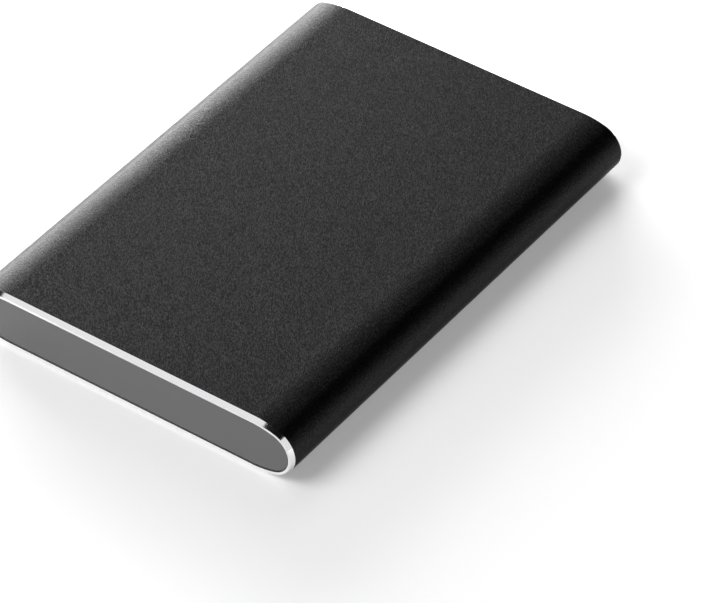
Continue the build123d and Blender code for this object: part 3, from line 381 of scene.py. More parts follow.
def pick(tree, index, choices):
    """Index Switch: the choice whose turn it is."""
    node = tree.nodes.new("GeometryNodeIndexSwitch")
    node.data_type = "FLOAT"
    while len(node.index_switch_items) < len(choices):
        node.index_switch_items.new()
    tree.links.new(index, node.inputs["Index"])
    for i, choice in enumerate(choices):
        feed(tree, node.inputs[str(i)], choice)
    return node.outputs[0]


def make_mesh(name, source, tree, sizes):
    """Runs a tree on a curve or mesh with these sizes and keeps the result as a plain mesh object."""
    carrier = bpy.data.objects.new(name + "_carrier", source)
    bpy.context.scene.collection.objects.link(carrier)
    modifier = carrier.modifiers.new(tree.name, "NODES")
    modifier.node_group = tree
    sockets = {item.name: item for item in tree.interface.items_tree if item.in_out == "INPUT"}
    for label, value in sizes.items():
        modifier[sockets[label].identifier] = value
    graph = bpy.context.evaluated_depsgraph_get()
    mesh = bpy.data.meshes.new_from_object(carrier.evaluated_get(graph), depsgraph=graph)
    mesh.name = name
    for i in reversed(range(len(mesh.materials))):
        if mesh.materials[i] is None:
            mesh.materials.pop(index=i)
    bpy.data.objects.remove(carrier)
    piece = bpy.data.objects.new(name, mesh)
    bpy.context.scene.collection.objects.link(piece)
    print(name, "faces", len(mesh.polygons), "finishes", [m.name for m in mesh.materials])
    return piece


print("helpers for trees ready")

# %% [markdown]
# Sweeping the wall
#
# Cut along its length, the wall of the sleeve has ten corners, five at each end: the start of the bevel,
# its end, the inner edge of the rim, and the two corners of the seat. They could be drawn as a curve by
# hand. In the tree they are the points of a line, and Set Position moves each one: an Index Switch tells
# how far along the case it lies, and a second one how far below the skin. So a new size moves every
# corner that depends on it.

# %% Sleeve, swept round its section
WALL_CORNERS = 10
sleeve_sizes = {
    "Length": case_length,
    "Bevel Length": 1.07 * MM,
    "Bevel Depth": 0.39 * MM,
    "Rim Width": 0.55 * MM,
    "Wall": 1.2 * MM,
    "Seat Depth": 1.85 * MM,
    "Half Width": half_width,
    "Rail Tip": 36.875 * MM,
    "Rail Thickness": 1.0 * MM,
    "Rail Lift": 7.0975 * MM,
}
sleeve_tree, given, result = new_tree("swept_sleeve", sleeve_sizes)
bevel_depth = given.outputs["Bevel Depth"]
wall = given.outputs["Wall"]
half_length = number(sleeve_tree, "MULTIPLY", given.outputs["Length"], 0.5)
bevel_start = number(sleeve_tree, "SUBTRACT", half_length, given.outputs["Bevel Length"])
seat_floor = number(sleeve_tree, "SUBTRACT", half_length, given.outputs["Seat Depth"])
rim_inset = number(sleeve_tree, "ADD", bevel_depth, given.outputs["Rim Width"])

corner = sleeve_tree.nodes.new("GeometryNodeInputIndex").outputs[0]
in_front = number(sleeve_tree, "LESS_THAN", corner, WALL_CORNERS / 2)
side = number(sleeve_tree, "SUBTRACT", number(sleeve_tree, "MULTIPLY", in_front, 2), 1)
from_last = number(sleeve_tree, "SUBTRACT", WALL_CORNERS - 1, corner)
mirrored = number(sleeve_tree, "MINIMUM", corner, from_last)
along = pick(sleeve_tree, mirrored, (bevel_start, half_length, half_length, seat_floor, seat_floor))
inset = pick(sleeve_tree, mirrored, (0.0, bevel_depth, rim_inset, rim_inset, wall))

wall_line = sleeve_tree.nodes.new("GeometryNodeCurvePrimitiveLine")
wall_points = sleeve_tree.nodes.new("GeometryNodeResampleCurve")
wall_points.inputs["Count"].default_value = WALL_CORNERS
wall_places = sleeve_tree.nodes.new("GeometryNodeSetPosition")
wall_corner = sleeve_tree.nodes.new("ShaderNodeCombineXYZ")
wall_ring = sleeve_tree.nodes.new("GeometryNodeSetSplineCyclic")
wall_ring.inputs["Cyclic"].default_value = True
sleeve_tree.links.new(wall_line.outputs["Curve"], wall_points.inputs["Curve"])
sleeve_tree.links.new(wall_points.outputs["Curve"], wall_places.inputs["Geometry"])
sleeve_tree.links.new(number(sleeve_tree, "MULTIPLY", side, along), wall_corner.inputs["X"])
sleeve_tree.links.new(inset, wall_corner.inputs["Y"])
sleeve_tree.links.new(wall_corner.outputs["Vector"], wall_places.inputs["Position"])
sleeve_tree.links.new(wall_places.outputs["Geometry"], wall_ring.inputs["Geometry"])

sweep = sleeve_tree.nodes.new("GeometryNodeCurveToMesh")
sleeve_tree.links.new(given.outputs["Geometry"], sweep.inputs["Curve"])
sleeve_tree.links.new(wall_ring.outputs["Geometry"], sweep.inputs["Profile Curve"])

# %% [markdown]
# Rails and finishes of the sleeve
#
# Inside, a rail along each side keeps the tray down. The rails are part of the extrusion, but they are
# straight and stop at the seats of the panels, so each is a bar that reaches into the wall and is joined
# to it. The finish of a face follows from its place: what lies beyond the start of the bevel was cut
# bright, and the rest is black. Faces are shaded smooth along the arcs, where each point turns the wall
# only a little, and an edge that turns by more than the sharp angle stays sharp.

# %% Rails along both sides of the bore
rail = sleeve_tree.nodes.new("GeometryNodeMeshCube")
rail_size = sleeve_tree.nodes.new("ShaderNodeCombineXYZ")
rail_tip = given.outputs["Rail Tip"]
half_wall = number(sleeve_tree, "MULTIPLY", wall, 0.5)
rail_root = number(sleeve_tree, "SUBTRACT", given.outputs["Half Width"], half_wall)
rail_middle = number(sleeve_tree, "MULTIPLY", number(sleeve_tree, "ADD", rail_root, rail_tip), 0.5)
sleeve_tree.links.new(number(sleeve_tree, "SUBTRACT", rail_root, rail_tip), rail_size.inputs["X"])
sleeve_tree.links.new(number(sleeve_tree, "MULTIPLY", seat_floor, 2), rail_size.inputs["Y"])
sleeve_tree.links.new(given.outputs["Rail Thickness"], rail_size.inputs["Z"])
sleeve_tree.links.new(rail_size.outputs["Vector"], rail.inputs["Size"])
wall_and_rails = sleeve_tree.nodes.new("GeometryNodeJoinGeometry")
sleeve_tree.links.new(sweep.outputs["Mesh"], wall_and_rails.inputs["Geometry"])
for hand in (-1, 1):
    rail_place = sleeve_tree.nodes.new("ShaderNodeCombineXYZ")
    placed_rail = sleeve_tree.nodes.new("GeometryNodeTransform")
    sleeve_tree.links.new(number(sleeve_tree, "MULTIPLY", rail_middle, hand), rail_place.inputs["X"])
    sleeve_tree.links.new(given.outputs["Rail Lift"], rail_place.inputs["Z"])
    sleeve_tree.links.new(rail.outputs["Mesh"], placed_rail.inputs["Geometry"])
    sleeve_tree.links.new(rail_place.outputs["Vector"], placed_rail.inputs["Translation"])
    sleeve_tree.links.new(placed_rail.outputs["Geometry"], wall_and_rails.inputs["Geometry"])
print("rail thickness and lift in mm", in_mm(sleeve_sizes[s] for s in ("Rail Thickness", "Rail Lift")))

# %% Sleeve finishes and sharp edges
SHARP_EDGE = math.radians(15)
turn_at_edge = sleeve_tree.nodes.new("GeometryNodeInputMeshEdgeAngle").outputs["Unsigned Angle"]
turns_little = number(sleeve_tree, "LESS_THAN", turn_at_edge, SHARP_EDGE)
soft_edges = sleeve_tree.nodes.new("GeometryNodeSetShadeSmooth")
soft_edges.domain = "EDGE"
sleeve_tree.links.new(wall_and_rails.outputs["Geometry"], soft_edges.inputs["Geometry"])
sleeve_tree.links.new(turns_little, soft_edges.inputs["Shade Smooth"])

position = sleeve_tree.nodes.new("ShaderNodeSeparateXYZ")
sleeve_tree.links.new(sleeve_tree.nodes.new("GeometryNodeInputPosition").outputs[0], position.inputs[0])
from_middle = number(sleeve_tree, "ABSOLUTE", position.outputs["Y"], 0)
near_end = number(sleeve_tree, "GREATER_THAN", from_middle, bevel_start)

whole = sleeve_tree.nodes.new("GeometryNodeRealizeInstances")
all_black = sleeve_tree.nodes.new("GeometryNodeSetMaterial")
all_black.inputs["Material"].default_value = black_skin
cut_ends = sleeve_tree.nodes.new("GeometryNodeSetMaterial")
cut_ends.inputs["Material"].default_value = bright_cut
sleeve_tree.links.new(soft_edges.outputs["Geometry"], whole.inputs["Geometry"])
sleeve_tree.links.new(whole.outputs["Geometry"], all_black.inputs["Geometry"])
sleeve_tree.links.new(all_black.outputs["Geometry"], cut_ends.inputs["Geometry"])
sleeve_tree.links.new(near_end, cut_ends.inputs["Selection"])
sleeve_tree.links.new(cut_ends.outputs["Geometry"], result.inputs["Geometry"])

sleeve_skin = make_mesh("sleeve_skin", section, sleeve_tree, sleeve_sizes)
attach(sleeve_skin, "case")
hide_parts("sleeve")

# %% [markdown]
# Plastics, ceramics and ferrite
#
# The panels are injection moulded from grey plastic, in a mould with an eroded surface, so they are satin
# with a very fine grain. Their shape is right in the CAD solids, so these stay and get a finish only. The
# tray, the connectors, the chips and the fired parts on the boards differ in colour, gloss and grain
# alone, so one function makes them all. The colours are those of the CAD record, apart from the grey of
# the panels, which is set here because they are in full view.

# %% Finishes of mouldings
PANEL_GREY = (0.144, 0.144, 0.146)
MOTTLE_SIZE = 12 * MM
slot_colour = {row["slot"]: row["base_color"] for row in frame["record"]["materials"]}
slot_colour["grey_moulding"] = PANEL_GREY
finishes = {}


def moulded(slot, roughness, spot, depth):
    """Moulded or fired surface: nearly even colour, and the mould's fine grain as relief."""
    finish, tree, shader, place = new_finish(slot + "_finish")
    fine = grain(tree, place, spot)
    mottle = grain(tree, place, MOTTLE_SIZE)
    tint(tree, shader, mottle, slot_colour[slot], darkest=0.96, lightest=1.04)
    roughen(tree, shader, fine, roughness - 0.04, roughness + 0.04)
    relief(tree, shader, fine, depth)
    finishes[slot] = finish


moulded("grey_moulding", roughness=0.45, spot=0.12 * MM, depth=0.004 * MM)
moulded("black_moulding", roughness=0.50, spot=0.15 * MM, depth=0.006 * MM)
moulded("chip_black", roughness=0.55, spot=0.08 * MM, depth=0.004 * MM)
moulded("white_moulding", roughness=0.40, spot=0.20 * MM, depth=0.003 * MM)
moulded("capacitor_tan", roughness=0.35, spot=0.12 * MM, depth=0.004 * MM)
moulded("ferrite", roughness=0.60, spot=0.10 * MM, depth=0.010 * MM)
print("mouldings", list(finishes))

# %% [markdown]
# Light guide
#
# A clear bar carries the light of a small lamp through the rear panel. Its ends are frosted, so that the
# light spreads and the bar shows as a pale dot when the lamp is off. It could be glass with a rough skin
# alone, but then it takes on the dark of the case behind it. So half of the light passes through it, the
# other half is scattered back, and a fine frost lies in the colour, the roughness and the relief.

# %% Clear moulding
FROST_SIZE = 0.10 * MM
FROST_DEPTH = 0.004 * MM


def frosted_clear(slot):
    finish, tree, shader, place = new_finish(slot + "_finish")
    frost = grain(tree, place, FROST_SIZE)
    tint(tree, shader, frost, slot_colour[slot], darkest=0.95, lightest=1.05)
    roughen(tree, shader, frost, low=0.20, high=0.34)
    relief(tree, shader, frost, FROST_DEPTH)
    shader.inputs["Transmission Weight"].default_value = 0.5
    shader.inputs["IOR"].default_value = 1.49
    finishes[slot] = finish


frosted_clear("clear_moulding")
print("clear", finishes["clear_moulding"].name)

# %% [markdown]
# Foam, felt and circuit boards
#
# Three surfaces with a pattern of their own. Foam is cut through its cells, and a Voronoi texture is made
# of cells. The felt of the air filter is a mat of fibres, so two grains are drawn out in crossing
# directions. A circuit board is glass fibre under green lacquer, and the copper tracks below the lacquer
# show as paler lines that stand up a little: they run straight and turn at corners, which the edges of a
# Voronoi texture do when its distances are counted along the axes.

# %% Finishes with cells, fibres and tracks
BUBBLE_SIZE = 0.35 * MM
FIBRE_SIZE = 0.05 * MM
FIBRE_STRETCH = (12, 1, 1)
FIBRE_TURNS = (math.radians(25), math.radians(-50))
TRACK_SPACING = 1.6 * MM
TRACK_START = 0.62
LACQUER_RIPPLE = 0.3 * MM


def cells(tree, place, size, metric):
    """Distance from the middle of the cell, in cells of about size metres."""
    texture = tree.nodes.new("ShaderNodeTexVoronoi")
    texture.distance = metric
    texture.inputs["Scale"].default_value = 1.0
    tree.links.new(scaled(tree, place, [size] * 3), texture.inputs["Vector"])
    return texture.outputs["Distance"]


def cut_foam(slot):
    finish, tree, shader, place = new_finish(slot + "_finish")
    bubbles_and_hollow_shade = cells(tree, place, BUBBLE_SIZE, "EUCLIDEAN")
    # The colour darkens towards the middle of each cell, where the relief is lowest: painted shade in the
    # open cells.
    tint(tree, shader, bubbles_and_hollow_shade, slot_colour[slot], darkest=0.6, lightest=1.3)
    roughen(tree, shader, bubbles_and_hollow_shade, low=0.80, high=0.95)
    relief(tree, shader, bubbles_and_hollow_shade, depth=0.10 * MM)
    finishes[slot] = finish


def pressed_felt(slot):
    finish, tree, shader, place = new_finish(slot + "_finish")
    layers = [grain(tree, place, FIBRE_SIZE, 2.0, FIBRE_STRETCH, turn) for turn in FIBRE_TURNS]
    fibres = number(tree, "MAXIMUM", *layers)
    tint(tree, shader, fibres, slot_colour[slot], darkest=0.75, lightest=1.1)
    roughen(tree, shader, fibres, low=0.85, high=0.95)
    relief(tree, shader, fibres, depth=0.08 * MM)
    finishes[slot] = finish


def lacquered_board(slot):
    finish, tree, shader, place = new_finish(slot + "_finish")
    from_cell_middle = cells(tree, place, TRACK_SPACING, "MANHATTAN")
    tracks = number(tree, "GREATER_THAN", from_cell_middle, TRACK_START)
    tint(tree, shader, tracks, slot_colour[slot], darkest=0.9, lightest=1.7)
    roughen(tree, shader, grain(tree, place, LACQUER_RIPPLE), low=0.28, high=0.38)
    relief(tree, shader, tracks, depth=0.03 * MM)
    finishes[slot] = finish


cut_foam("foam")
pressed_felt("filter_felt")
lacquered_board("board_green")
print("finishes so far", list(finishes))

# %% [markdown]
# Metals
#
# What tells one bare metal from another, apart from its colour, is the mark of the tool. A rolled sheet
# has long lines, a casting has a skin of grains, a ground shaft has lines along its axis, and plated parts
# have only a slight mottle. All of these are one grain, drawn out along another axis each time.


# %% Rolled, cast, ground and plated metals
def bare_metal(slot, roughness, spot, stretch, depth):
    finish, tree, shader, place = new_finish(slot + "_finish")
    marks = grain(tree, place, spot, 2.0, stretch)
    tint(tree, shader, marks, slot_colour[slot], darkest=0.85, lightest=1.1)
    roughen(tree, shader, marks, roughness - 0.06, roughness + 0.06)
    relief(tree, shader, marks, depth)
    shader.inputs["Metallic"].default_value = 1.0
    finishes[slot] = finish


bare_metal("nickel_shell", roughness=0.24, spot=0.06 * MM, stretch=(1, 12, 1), depth=0.001 * MM)
bare_metal("gold_contacts", roughness=0.26, spot=0.04 * MM, stretch=(1, 8, 1), depth=0.001 * MM)
bare_metal("cast_aluminium", roughness=0.46, spot=0.25 * MM, stretch=(1, 1, 1), depth=0.015 * MM)
bare_metal("cover_steel", roughness=0.32, spot=0.06 * MM, stretch=(1, 30, 1), depth=0.002 * MM)
bare_metal("shaft_steel", roughness=0.22, spot=0.05 * MM, stretch=(1, 1, 20), depth=0.001 * MM)
bare_metal("magnet_nickel", roughness=0.28, spot=0.30 * MM, stretch=(1, 1, 1), depth=0.002 * MM)
bare_metal("bearing_brass", roughness=0.30, spot=0.06 * MM, stretch=(1, 1, 8), depth=0.002 * MM)
bare_metal("bright_aluminium", roughness=0.26, spot=0.08 * MM, stretch=(20, 1, 1), depth=0.002 * MM)
print("number of finishes so far", len(finishes))

# %% [markdown]
# Rings: turned parts, the disc and the windings
#
# The hub, the clamp and the disc are made while they spin, so their marks are rings about the spindle. The
# copper wire is wound in rings too, round the spindle on the motor and round its own middle on the coil of
# the arm. A Wave texture in rings does this, with its centre moved to the axis by a Mapping node. The axis
# itself is read from the frame, so the rings stay true when a size is changed.

# %% Ringed finishes
WAVE_RATE = 20


def rings(tree, place, axis, pitch):
    """Wave from 0 to 1 in rings of this pitch about an upright axis; its sine runs at WAVE_RATE."""
    wave = tree.nodes.new("ShaderNodeTexWave")
    wave.wave_type = "RINGS"
    wave.rings_direction = "Z"
    wave.inputs["Scale"].default_value = math.tau / WAVE_RATE
    from_axis = scaled(tree, place, [pitch] * 3, centre=(axis.x, axis.y, 0))
    tree.links.new(from_axis, wave.inputs["Vector"])
    return wave.outputs["Fac"]


def ringed_metal(name, colour, axis, roughness, pitch, contrast, depth):
    finish, tree, shader, place = new_finish(name)
    ring = rings(tree, place, axis, pitch)
    tint(tree, shader, ring, colour, 1 - contrast, 1 + contrast)
    roughen(tree, shader, ring, 0.8 * roughness, 1.2 * roughness)
    relief(tree, shader, ring, depth)
    shader.inputs["Metallic"].default_value = 1.0
    return finish


def middle(node):
    """Middle of a node's box."""
    low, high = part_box(node)
    return (low + high) / 2


spindle_axis = middle("disc")
coil_axis = middle("voice_coil")
silver = slot_colour["bright_aluminium"]
mirror = slot_colour["disc_mirror"]
copper = slot_colour["copper_wire"]
turned = ringed_metal(
    "turned_aluminium", silver, spindle_axis,
    roughness=0.24, pitch=0.2 * MM, contrast=0.05, depth=0.002 * MM,
)
finishes["disc_mirror"] = ringed_metal(
    "polished_disc", mirror, spindle_axis,
    roughness=0.04, pitch=0.5 * MM, contrast=0.02, depth=0.00003 * MM,
)
finishes["copper_wire"] = ringed_metal(
    "motor_wire", copper, spindle_axis,
    roughness=0.34, pitch=0.15 * MM, contrast=0.25, depth=0.05 * MM,
)
coil_wire = ringed_metal(
    "coil_wire", copper, coil_axis,
    roughness=0.34, pitch=0.12 * MM, contrast=0.25, depth=0.04 * MM,
)
print("rings in mm about", in_mm(spindle_axis), "and", in_mm(coil_axis))

# %% [markdown]
# Handing the finishes out
#
# Each CAD node has one material slot, and the record says which finish belongs in it. Three nodes differ
# from the others of their slot: the hub and the clamp are turned, and the coil has an axis of its own.

# %% Finishes on the CAD nodes
slot_of = {row["node"]: row["material_slot"] for row in frame["record"]["subparts"]}
own_finish = {"spindle_hub": turned, "disc_clamp": turned, "voice_coil": coil_wire}
dressed = [node for node in slot_of if slot_of[node] in finishes]
for node in dressed:
    nodes[node].material_slots[0].material = own_finish.get(node, finishes[slot_of[node]])
print("finished nodes", len(dressed), "left to a new piece", sorted(set(nodes) - set(dressed)))

# %% [markdown]
# Screws
#
# Six low screws hold the cover on the drive, and one holds the clamp on the spindle. A screw head could be
# modelled once and copied by hand. Here a Geometry Nodes tree puts one head on each point of a mesh, so
# the places are all that has to be given, and they are worked out from the margin between the edge of the
# cover and the foam pad on it. The head is a cone with a slight taper and a six-sided socket cut into it.

# %% Tree that puts a screw head on each point
HEAD_SIDES = 32
HEAD_TAPER = 0.88
SOCKET_SIDES = 6
screw_sizes = ("Head Radius", "Head Height", "Socket Radius", "Socket Depth")
screw_tree, given, result = new_tree("screw_heads", screw_sizes)
head_radius = given.outputs["Head Radius"]
head_height = given.outputs["Head Height"]
top_radius = number(screw_tree, "MULTIPLY", head_radius, HEAD_TAPER)
head = screw_tree.nodes.new("GeometryNodeMeshCone")
head.inputs["Vertices"].default_value = HEAD_SIDES
screw_tree.links.new(top_radius, head.inputs["Radius Top"])
screw_tree.links.new(head_radius, head.inputs["Radius Bottom"])
screw_tree.links.new(head_height, head.inputs["Depth"])

key = screw_tree.nodes.new("GeometryNodeMeshCylinder")
key.inputs["Vertices"].default_value = SOCKET_SIDES
key_depth = number(screw_tree, "MULTIPLY", given.outputs["Socket Depth"], 2)
key_place = screw_tree.nodes.new("GeometryNodeTransform")
key_lift = screw_tree.nodes.new("ShaderNodeCombineXYZ")
screw_tree.links.new(given.outputs["Socket Radius"], key.inputs["Radius"])
screw_tree.links.new(key_depth, key.inputs["Depth"])
screw_tree.links.new(head_height, key_lift.inputs["Z"])
screw_tree.links.new(key.outputs["Mesh"], key_place.inputs["Geometry"])
screw_tree.links.new(key_lift.outputs["Vector"], key_place.inputs["Translation"])
socket_cut = screw_tree.nodes.new("GeometryNodeMeshBoolean")
socket_cut.operation = "DIFFERENCE"
screw_tree.links.new(head.outputs["Mesh"], socket_cut.inputs["Mesh 1"])
screw_tree.links.new(key_place.outputs["Geometry"], socket_cut.inputs["Mesh 2"])

on_points = screw_tree.nodes.new("GeometryNodeInstanceOnPoints")
real_heads = screw_tree.nodes.new("GeometryNodeRealizeInstances")
steel_heads = screw_tree.nodes.new("GeometryNodeSetMaterial")
steel_heads.inputs["Material"].default_value = finishes["shaft_steel"]
screw_tree.links.new(given.outputs["Geometry"], on_points.inputs["Points"])
screw_tree.links.new(socket_cut.outputs["Mesh"], on_points.inputs["Instance"])
screw_tree.links.new(on_points.outputs["Instances"], real_heads.inputs["Geometry"])
screw_tree.links.new(real_heads.outputs["Geometry"], steel_heads.inputs["Geometry"])
screw_tree.links.new(steel_heads.outputs["Geometry"], result.inputs["Geometry"])

# %% Screws of the cover and of the clamp
cover_low, cover_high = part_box("drive_cover")
pad_low, pad_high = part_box("top_pad")
screw_x = (cover_high.x + pad_high.x) / 2
screw_front = (cover_low.y + pad_low.y) / 2
screw_rear = (cover_high.y + pad_high.y) / 2
screw_rows = (screw_front, middle("drive_cover").y, screw_rear)
cover_heads = bpy.data.meshes.new("cover_screw_places")
cover_heads.from_pydata([(x, y, cover_high.z) for x in (-screw_x, screw_x) for y in screw_rows], [], [])
small_head = {
    "Head Radius": 1.5 * MM,
    "Head Height": 0.5 * MM,
    "Socket Radius": 0.8 * MM,
    "Socket Depth": 0.35 * MM,
}
cover_screws = make_mesh("cover_screws", cover_heads, screw_tree, small_head)
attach(cover_screws, "case")

clamp_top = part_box("disc_clamp")[1].z
clamp_head = bpy.data.meshes.new("clamp_screw_place")
clamp_head.from_pydata([(spindle_axis.x, spindle_axis.y, clamp_top)], [], [])
wide_head = {
    "Head Radius": 2.4 * MM,
    "Head Height": 0.4 * MM,
    "Socket Radius": 1.2 * MM,
    "Socket Depth": 0.3 * MM,
}
clamp_screw = make_mesh("clamp_screw", clamp_head, screw_tree, wide_head)
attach(clamp_screw, "spindle")

# %% [markdown]
# Legs of the chips
#
# The chips on the drive's board stand on rows of bent legs. Every leg is the same strip of tinned metal: it
# leaves the body at half height, bends down and ends in a flat foot. So the tree sweeps one leg along a
# bent line, sets it out in a row at the pitch, and turns that row about the middle of the chip. A square
# chip has four rows and a memory chip has two. The points of the bent line are given as shares of the
# leg's reach, and the first one lies inside the body.

# %% Tree that bends one leg and sets it out in a row
LEG_POINTS = (-0.1, 0.3, 0.5, 1.0)
leg_sizes = ("Reach", "Leg Height", "Leg Width", "Leg Thickness", "Pitch", "Legs", "Rows", "Half Side")
leg_tree, given, result = new_tree("chip_legs", leg_sizes)
leg_line = leg_tree.nodes.new("GeometryNodeCurvePrimitiveLine")
leg_points = leg_tree.nodes.new("GeometryNodeResampleCurve")
leg_points.inputs["Count"].default_value = len(LEG_POINTS)
leg_bend = leg_tree.nodes.new("GeometryNodeSetPosition")
leg_corner = leg_tree.nodes.new("ShaderNodeCombineXYZ")
bend = leg_tree.nodes.new("GeometryNodeInputIndex").outputs[0]
shoulder_rise = given.outputs["Leg Height"]
foot_rise = number(leg_tree, "MULTIPLY", given.outputs["Leg Thickness"], 0.5)
outwards = pick(leg_tree, bend, LEG_POINTS)
rise = pick(leg_tree, bend, (shoulder_rise, shoulder_rise, foot_rise, foot_rise))
leg_tree.links.new(number(leg_tree, "MULTIPLY", outwards, given.outputs["Reach"]), leg_corner.inputs["X"])
leg_tree.links.new(rise, leg_corner.inputs["Z"])
leg_tree.links.new(leg_line.outputs["Curve"], leg_points.inputs["Curve"])
leg_tree.links.new(leg_points.outputs["Curve"], leg_bend.inputs["Geometry"])
leg_tree.links.new(leg_corner.outputs["Vector"], leg_bend.inputs["Position"])
strip = leg_tree.nodes.new("GeometryNodeCurvePrimitiveQuadrilateral")
leg_tree.links.new(given.outputs["Leg Width"], strip.inputs["Width"])
leg_tree.links.new(given.outputs["Leg Thickness"], strip.inputs["Height"])
leg = leg_tree.nodes.new("GeometryNodeCurveToMesh")
leg.inputs["Fill Caps"].default_value = True
leg_tree.links.new(leg_bend.outputs["Geometry"], leg.inputs["Curve"])
leg_tree.links.new(strip.outputs["Curve"], leg.inputs["Profile Curve"])

leg_row = leg_tree.nodes.new("GeometryNodeMeshLine")
row_start = leg_tree.nodes.new("ShaderNodeCombineXYZ")
row_step = leg_tree.nodes.new("ShaderNodeCombineXYZ")
steps = number(leg_tree, "SUBTRACT", given.outputs["Legs"], 1)
row_length = number(leg_tree, "MULTIPLY", steps, given.outputs["Pitch"])
leg_tree.links.new(given.outputs["Legs"], leg_row.inputs["Count"])
leg_tree.links.new(given.outputs["Half Side"], row_start.inputs["X"])
leg_tree.links.new(number(leg_tree, "MULTIPLY", row_length, -0.5), row_start.inputs["Y"])
leg_tree.links.new(given.outputs["Pitch"], row_step.inputs["Y"])
leg_tree.links.new(row_start.outputs["Vector"], leg_row.inputs["Start Location"])
leg_tree.links.new(row_step.outputs["Vector"], leg_row.inputs["Offset"])
one_row = leg_tree.nodes.new("GeometryNodeInstanceOnPoints")
leg_tree.links.new(leg_row.outputs["Mesh"], one_row.inputs["Points"])
leg_tree.links.new(leg.outputs["Mesh"], one_row.inputs["Instance"])

# %% Rows of legs, turned about the middle of the chip
copies = leg_tree.nodes.new("GeometryNodeDuplicateElements")
copies.domain = "POINT"
leg_tree.links.new(given.outputs["Geometry"], copies.inputs["Geometry"])
leg_tree.links.new(given.outputs["Rows"], copies.inputs["Amount"])
row_turn = leg_tree.nodes.new("ShaderNodeCombineXYZ")
share = number(leg_tree, "DIVIDE", copies.outputs["Duplicate Index"], given.outputs["Rows"])
leg_tree.links.new(number(leg_tree, "MULTIPLY", share, math.tau), row_turn.inputs["Z"])
all_rows = leg_tree.nodes.new("GeometryNodeInstanceOnPoints")
real_legs = leg_tree.nodes.new("GeometryNodeRealizeInstances")
tinned_legs = leg_tree.nodes.new("GeometryNodeSetMaterial")
tinned_legs.inputs["Material"].default_value = finishes["nickel_shell"]
leg_tree.links.new(copies.outputs["Geometry"], all_rows.inputs["Points"])
leg_tree.links.new(one_row.outputs["Instances"], all_rows.inputs["Instance"])
leg_tree.links.new(row_turn.outputs["Vector"], all_rows.inputs["Rotation"])
leg_tree.links.new(all_rows.outputs["Instances"], real_legs.inputs["Geometry"])
leg_tree.links.new(real_legs.outputs["Geometry"], tinned_legs.inputs["Geometry"])
leg_tree.links.new(tinned_legs.outputs["Geometry"], result.inputs["Geometry"])


def stand_on_legs(chip, pitch, rows):
    """Legs round a chip of the drive's board, as many as its side has room for."""
    low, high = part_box(chip)
    centre = middle(chip)
    place = bpy.data.meshes.new(chip + "_place")
    place.from_pydata([(centre.x, centre.y, low.z)], [], [])
    sizes = {
        "Reach": 0.9 * MM,
        "Leg Height": (high.z - low.z) / 2,
        "Leg Width": pitch / 2,
        "Leg Thickness": 0.12 * MM,
        "Pitch": pitch,
        "Legs": math.floor((high.y - low.y) / pitch - 1),
        "Rows": rows,
        "Half Side": (high.x - low.x) / 2,
    }
    legs = make_mesh(chip + "_legs", place, leg_tree, sizes)
    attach(legs, "case")


stand_on_legs("controller_chip", pitch=0.5 * MM, rows=4)
stand_on_legs("motor_driver_chip", pitch=0.5 * MM, rows=4)
stand_on_legs("memory_chip", pitch=0.65 * MM, rows=2)

# %% [markdown]
# Floor
#
# The floor is a sheet of white paper with a slight sheen. A plain plane would end in a dark horizon, so the
# sheet bends up far from the case, as in a studio, and from low down there is paper behind the case too.
# Its line is turned once about the case. The lamps light the paper, and a glow of a fifth, which only
# camera, mirror and glass rays see, lightens the shadow. The paper then reads as white and still shows
# where the case stands.

# %% White paper
PAPER_LINE = ((0, 0), (2.4, 0), (2.65, 0.02), (2.85, 0.08), (2.97, 0.17), (3.0, 0.28))
PAPER_SIDES = 96
PAPER_WHITE = (0.94, 0.94, 0.94, 1)
PAPER_ROUGHNESS = 0.3
PAPER_SHEEN = 0.3
PAPER_GLOW = 0.20
WHITE = (1, 1, 1, 1)
sheet = bmesh.new()
line = [sheet.verts.new((radius, 0, height)) for radius, height in PAPER_LINE]
edges = [sheet.edges.new(pair) for pair in zip(line, line[1:])]
bmesh.ops.spin(
    sheet, geom=line + edges, cent=(0, 0, 0), axis=(0, 0, 1), angle=math.tau, steps=PAPER_SIDES
)
bmesh.ops.remove_doubles(sheet, verts=sheet.verts, dist=0.1 * MM)
bmesh.ops.recalc_face_normals(sheet, faces=sheet.faces)
if sum(face.normal.z for face in sheet.faces) < 0:
    bmesh.ops.reverse_faces(sheet, faces=sheet.faces)
for face in sheet.faces:
    face.smooth = True
floor_mesh = bpy.data.meshes.new("floor")
sheet.to_mesh(floor_mesh)
sheet.free()
floor = bpy.data.objects.new("floor", floor_mesh)
floor.location.z = cad_low.z
bpy.context.scene.collection.objects.link(floor)

paper, paper_tree, paper_shader = new_finish("white_paper")[:3]
paper_shader.inputs["Base Color"].default_value = PAPER_WHITE
paper_shader.inputs["Roughness"].default_value = PAPER_ROUGHNESS
paper_shader.inputs["Specular IOR Level"].default_value = PAPER_SHEEN
paper_shader.inputs["Emission Color"].default_value = WHITE
ray = paper_tree.nodes.new("ShaderNodeLightPath").outputs
mirrored_ray = number(paper_tree, "ADD", ray["Is Glossy Ray"], ray["Is Transmission Ray"])
seen_ray = number(paper_tree, "ADD", ray["Is Camera Ray"], mirrored_ray)
seen_glow = number(paper_tree, "MULTIPLY", seen_ray, PAPER_GLOW)
paper_tree.links.new(seen_glow, paper_shader.inputs["Emission Strength"])
floor_mesh.materials.append(paper)
floor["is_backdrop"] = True
print("floor faces", len(floor_mesh.polygons))

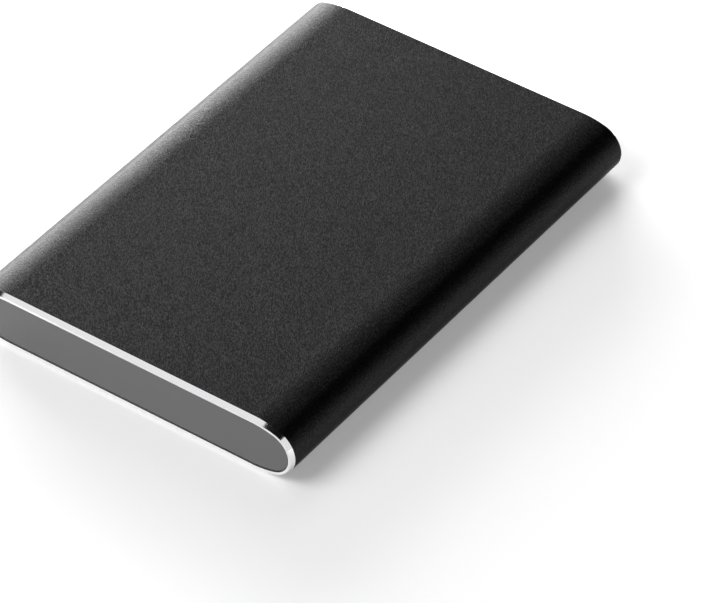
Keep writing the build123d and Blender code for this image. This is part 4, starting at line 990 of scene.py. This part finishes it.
# %% [markdown]
# Light
#
# Metal shows little but what it mirrors. One bright world could light everything at once, but then the
# metal would mirror the same white all over and look flat. So each soft box is there for one surface. The
# key box, in front on the left, lights the paper and the grey panel. The long bevel mirrors the overhead
# box, and the left flank mirrors the low box behind it and the paper in front of that box. The upper left
# box gives the top its soft grey, and from behind the front box does. The rear bevel mirrors the strip
# behind the case. The right box is for the bevel round the nose and the faint band on the right flank.
# Above that side there is nothing, which leaves the black line along it.

# %% Soft boxes and world
WORLD_GLOW = 0.005


def soft_box(name, place, width, height, glow):
    """Rectangular soft lamp that points at the case and looks glow times as bright as white paper."""
    light = bpy.data.lights.new(name, "AREA")
    light.shape = "RECTANGLE"
    light.size = width
    light.size_y = height
    light.energy = glow * math.pi * width * height
    lamp = bpy.data.objects.new(name, light)
    lamp.location = place
    lamp.rotation_mode = "QUATERNION"
    lamp.rotation_quaternion = (Vector(place) - case_middle).to_track_quat("Z", "Y")
    lamp.visible_camera = False
    bpy.context.scene.collection.objects.link(lamp)


soft_box("key_box", (-0.659, -0.844, 1.189), width=1.0, height=1.0, glow=4.5)
soft_box("front_box", (0.1, -1.1, 0.42), width=1.4, height=0.56, glow=0.7)
soft_box("overhead_box", (-0.445, 0.0, 0.995), width=0.6, height=0.58, glow=0.90)
soft_box("back_left_box", (-0.851, 0.665, 0.205), width=0.9, height=0.39, glow=21.5)
soft_box("upper_left_box", (-0.608, 0.652, 0.803), width=0.8, height=0.55, glow=1.08)
soft_box("back_strip", (-0.13, 1.09, 0.16), width=1.0, height=0.31, glow=1.5)
soft_box("right_box", (0.787, -0.418, 0.454), width=1.2, height=1.0, glow=0.86)

world = bpy.data.worlds.new("studio")
world.use_nodes = True
sky = world.node_tree.nodes["Background"]
sky.inputs["Color"].default_value = WHITE
sky.inputs["Strength"].default_value = WORLD_GLOW
bpy.context.scene.world = world
bpy.context.scene.view_settings.view_transform = "Standard"

# %% [markdown]
# Sizes
#
# The CAD model's box and the dressed model's box are printed side by side. The dressed model has to
# stay inside the CAD model's box.

# %% Print both boxes
seen_low, seen_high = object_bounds()
print("cad box in mm", in_mm((*cad_low, *cad_high)))
print("seen box in mm", in_mm((*seen_low, *seen_high)))
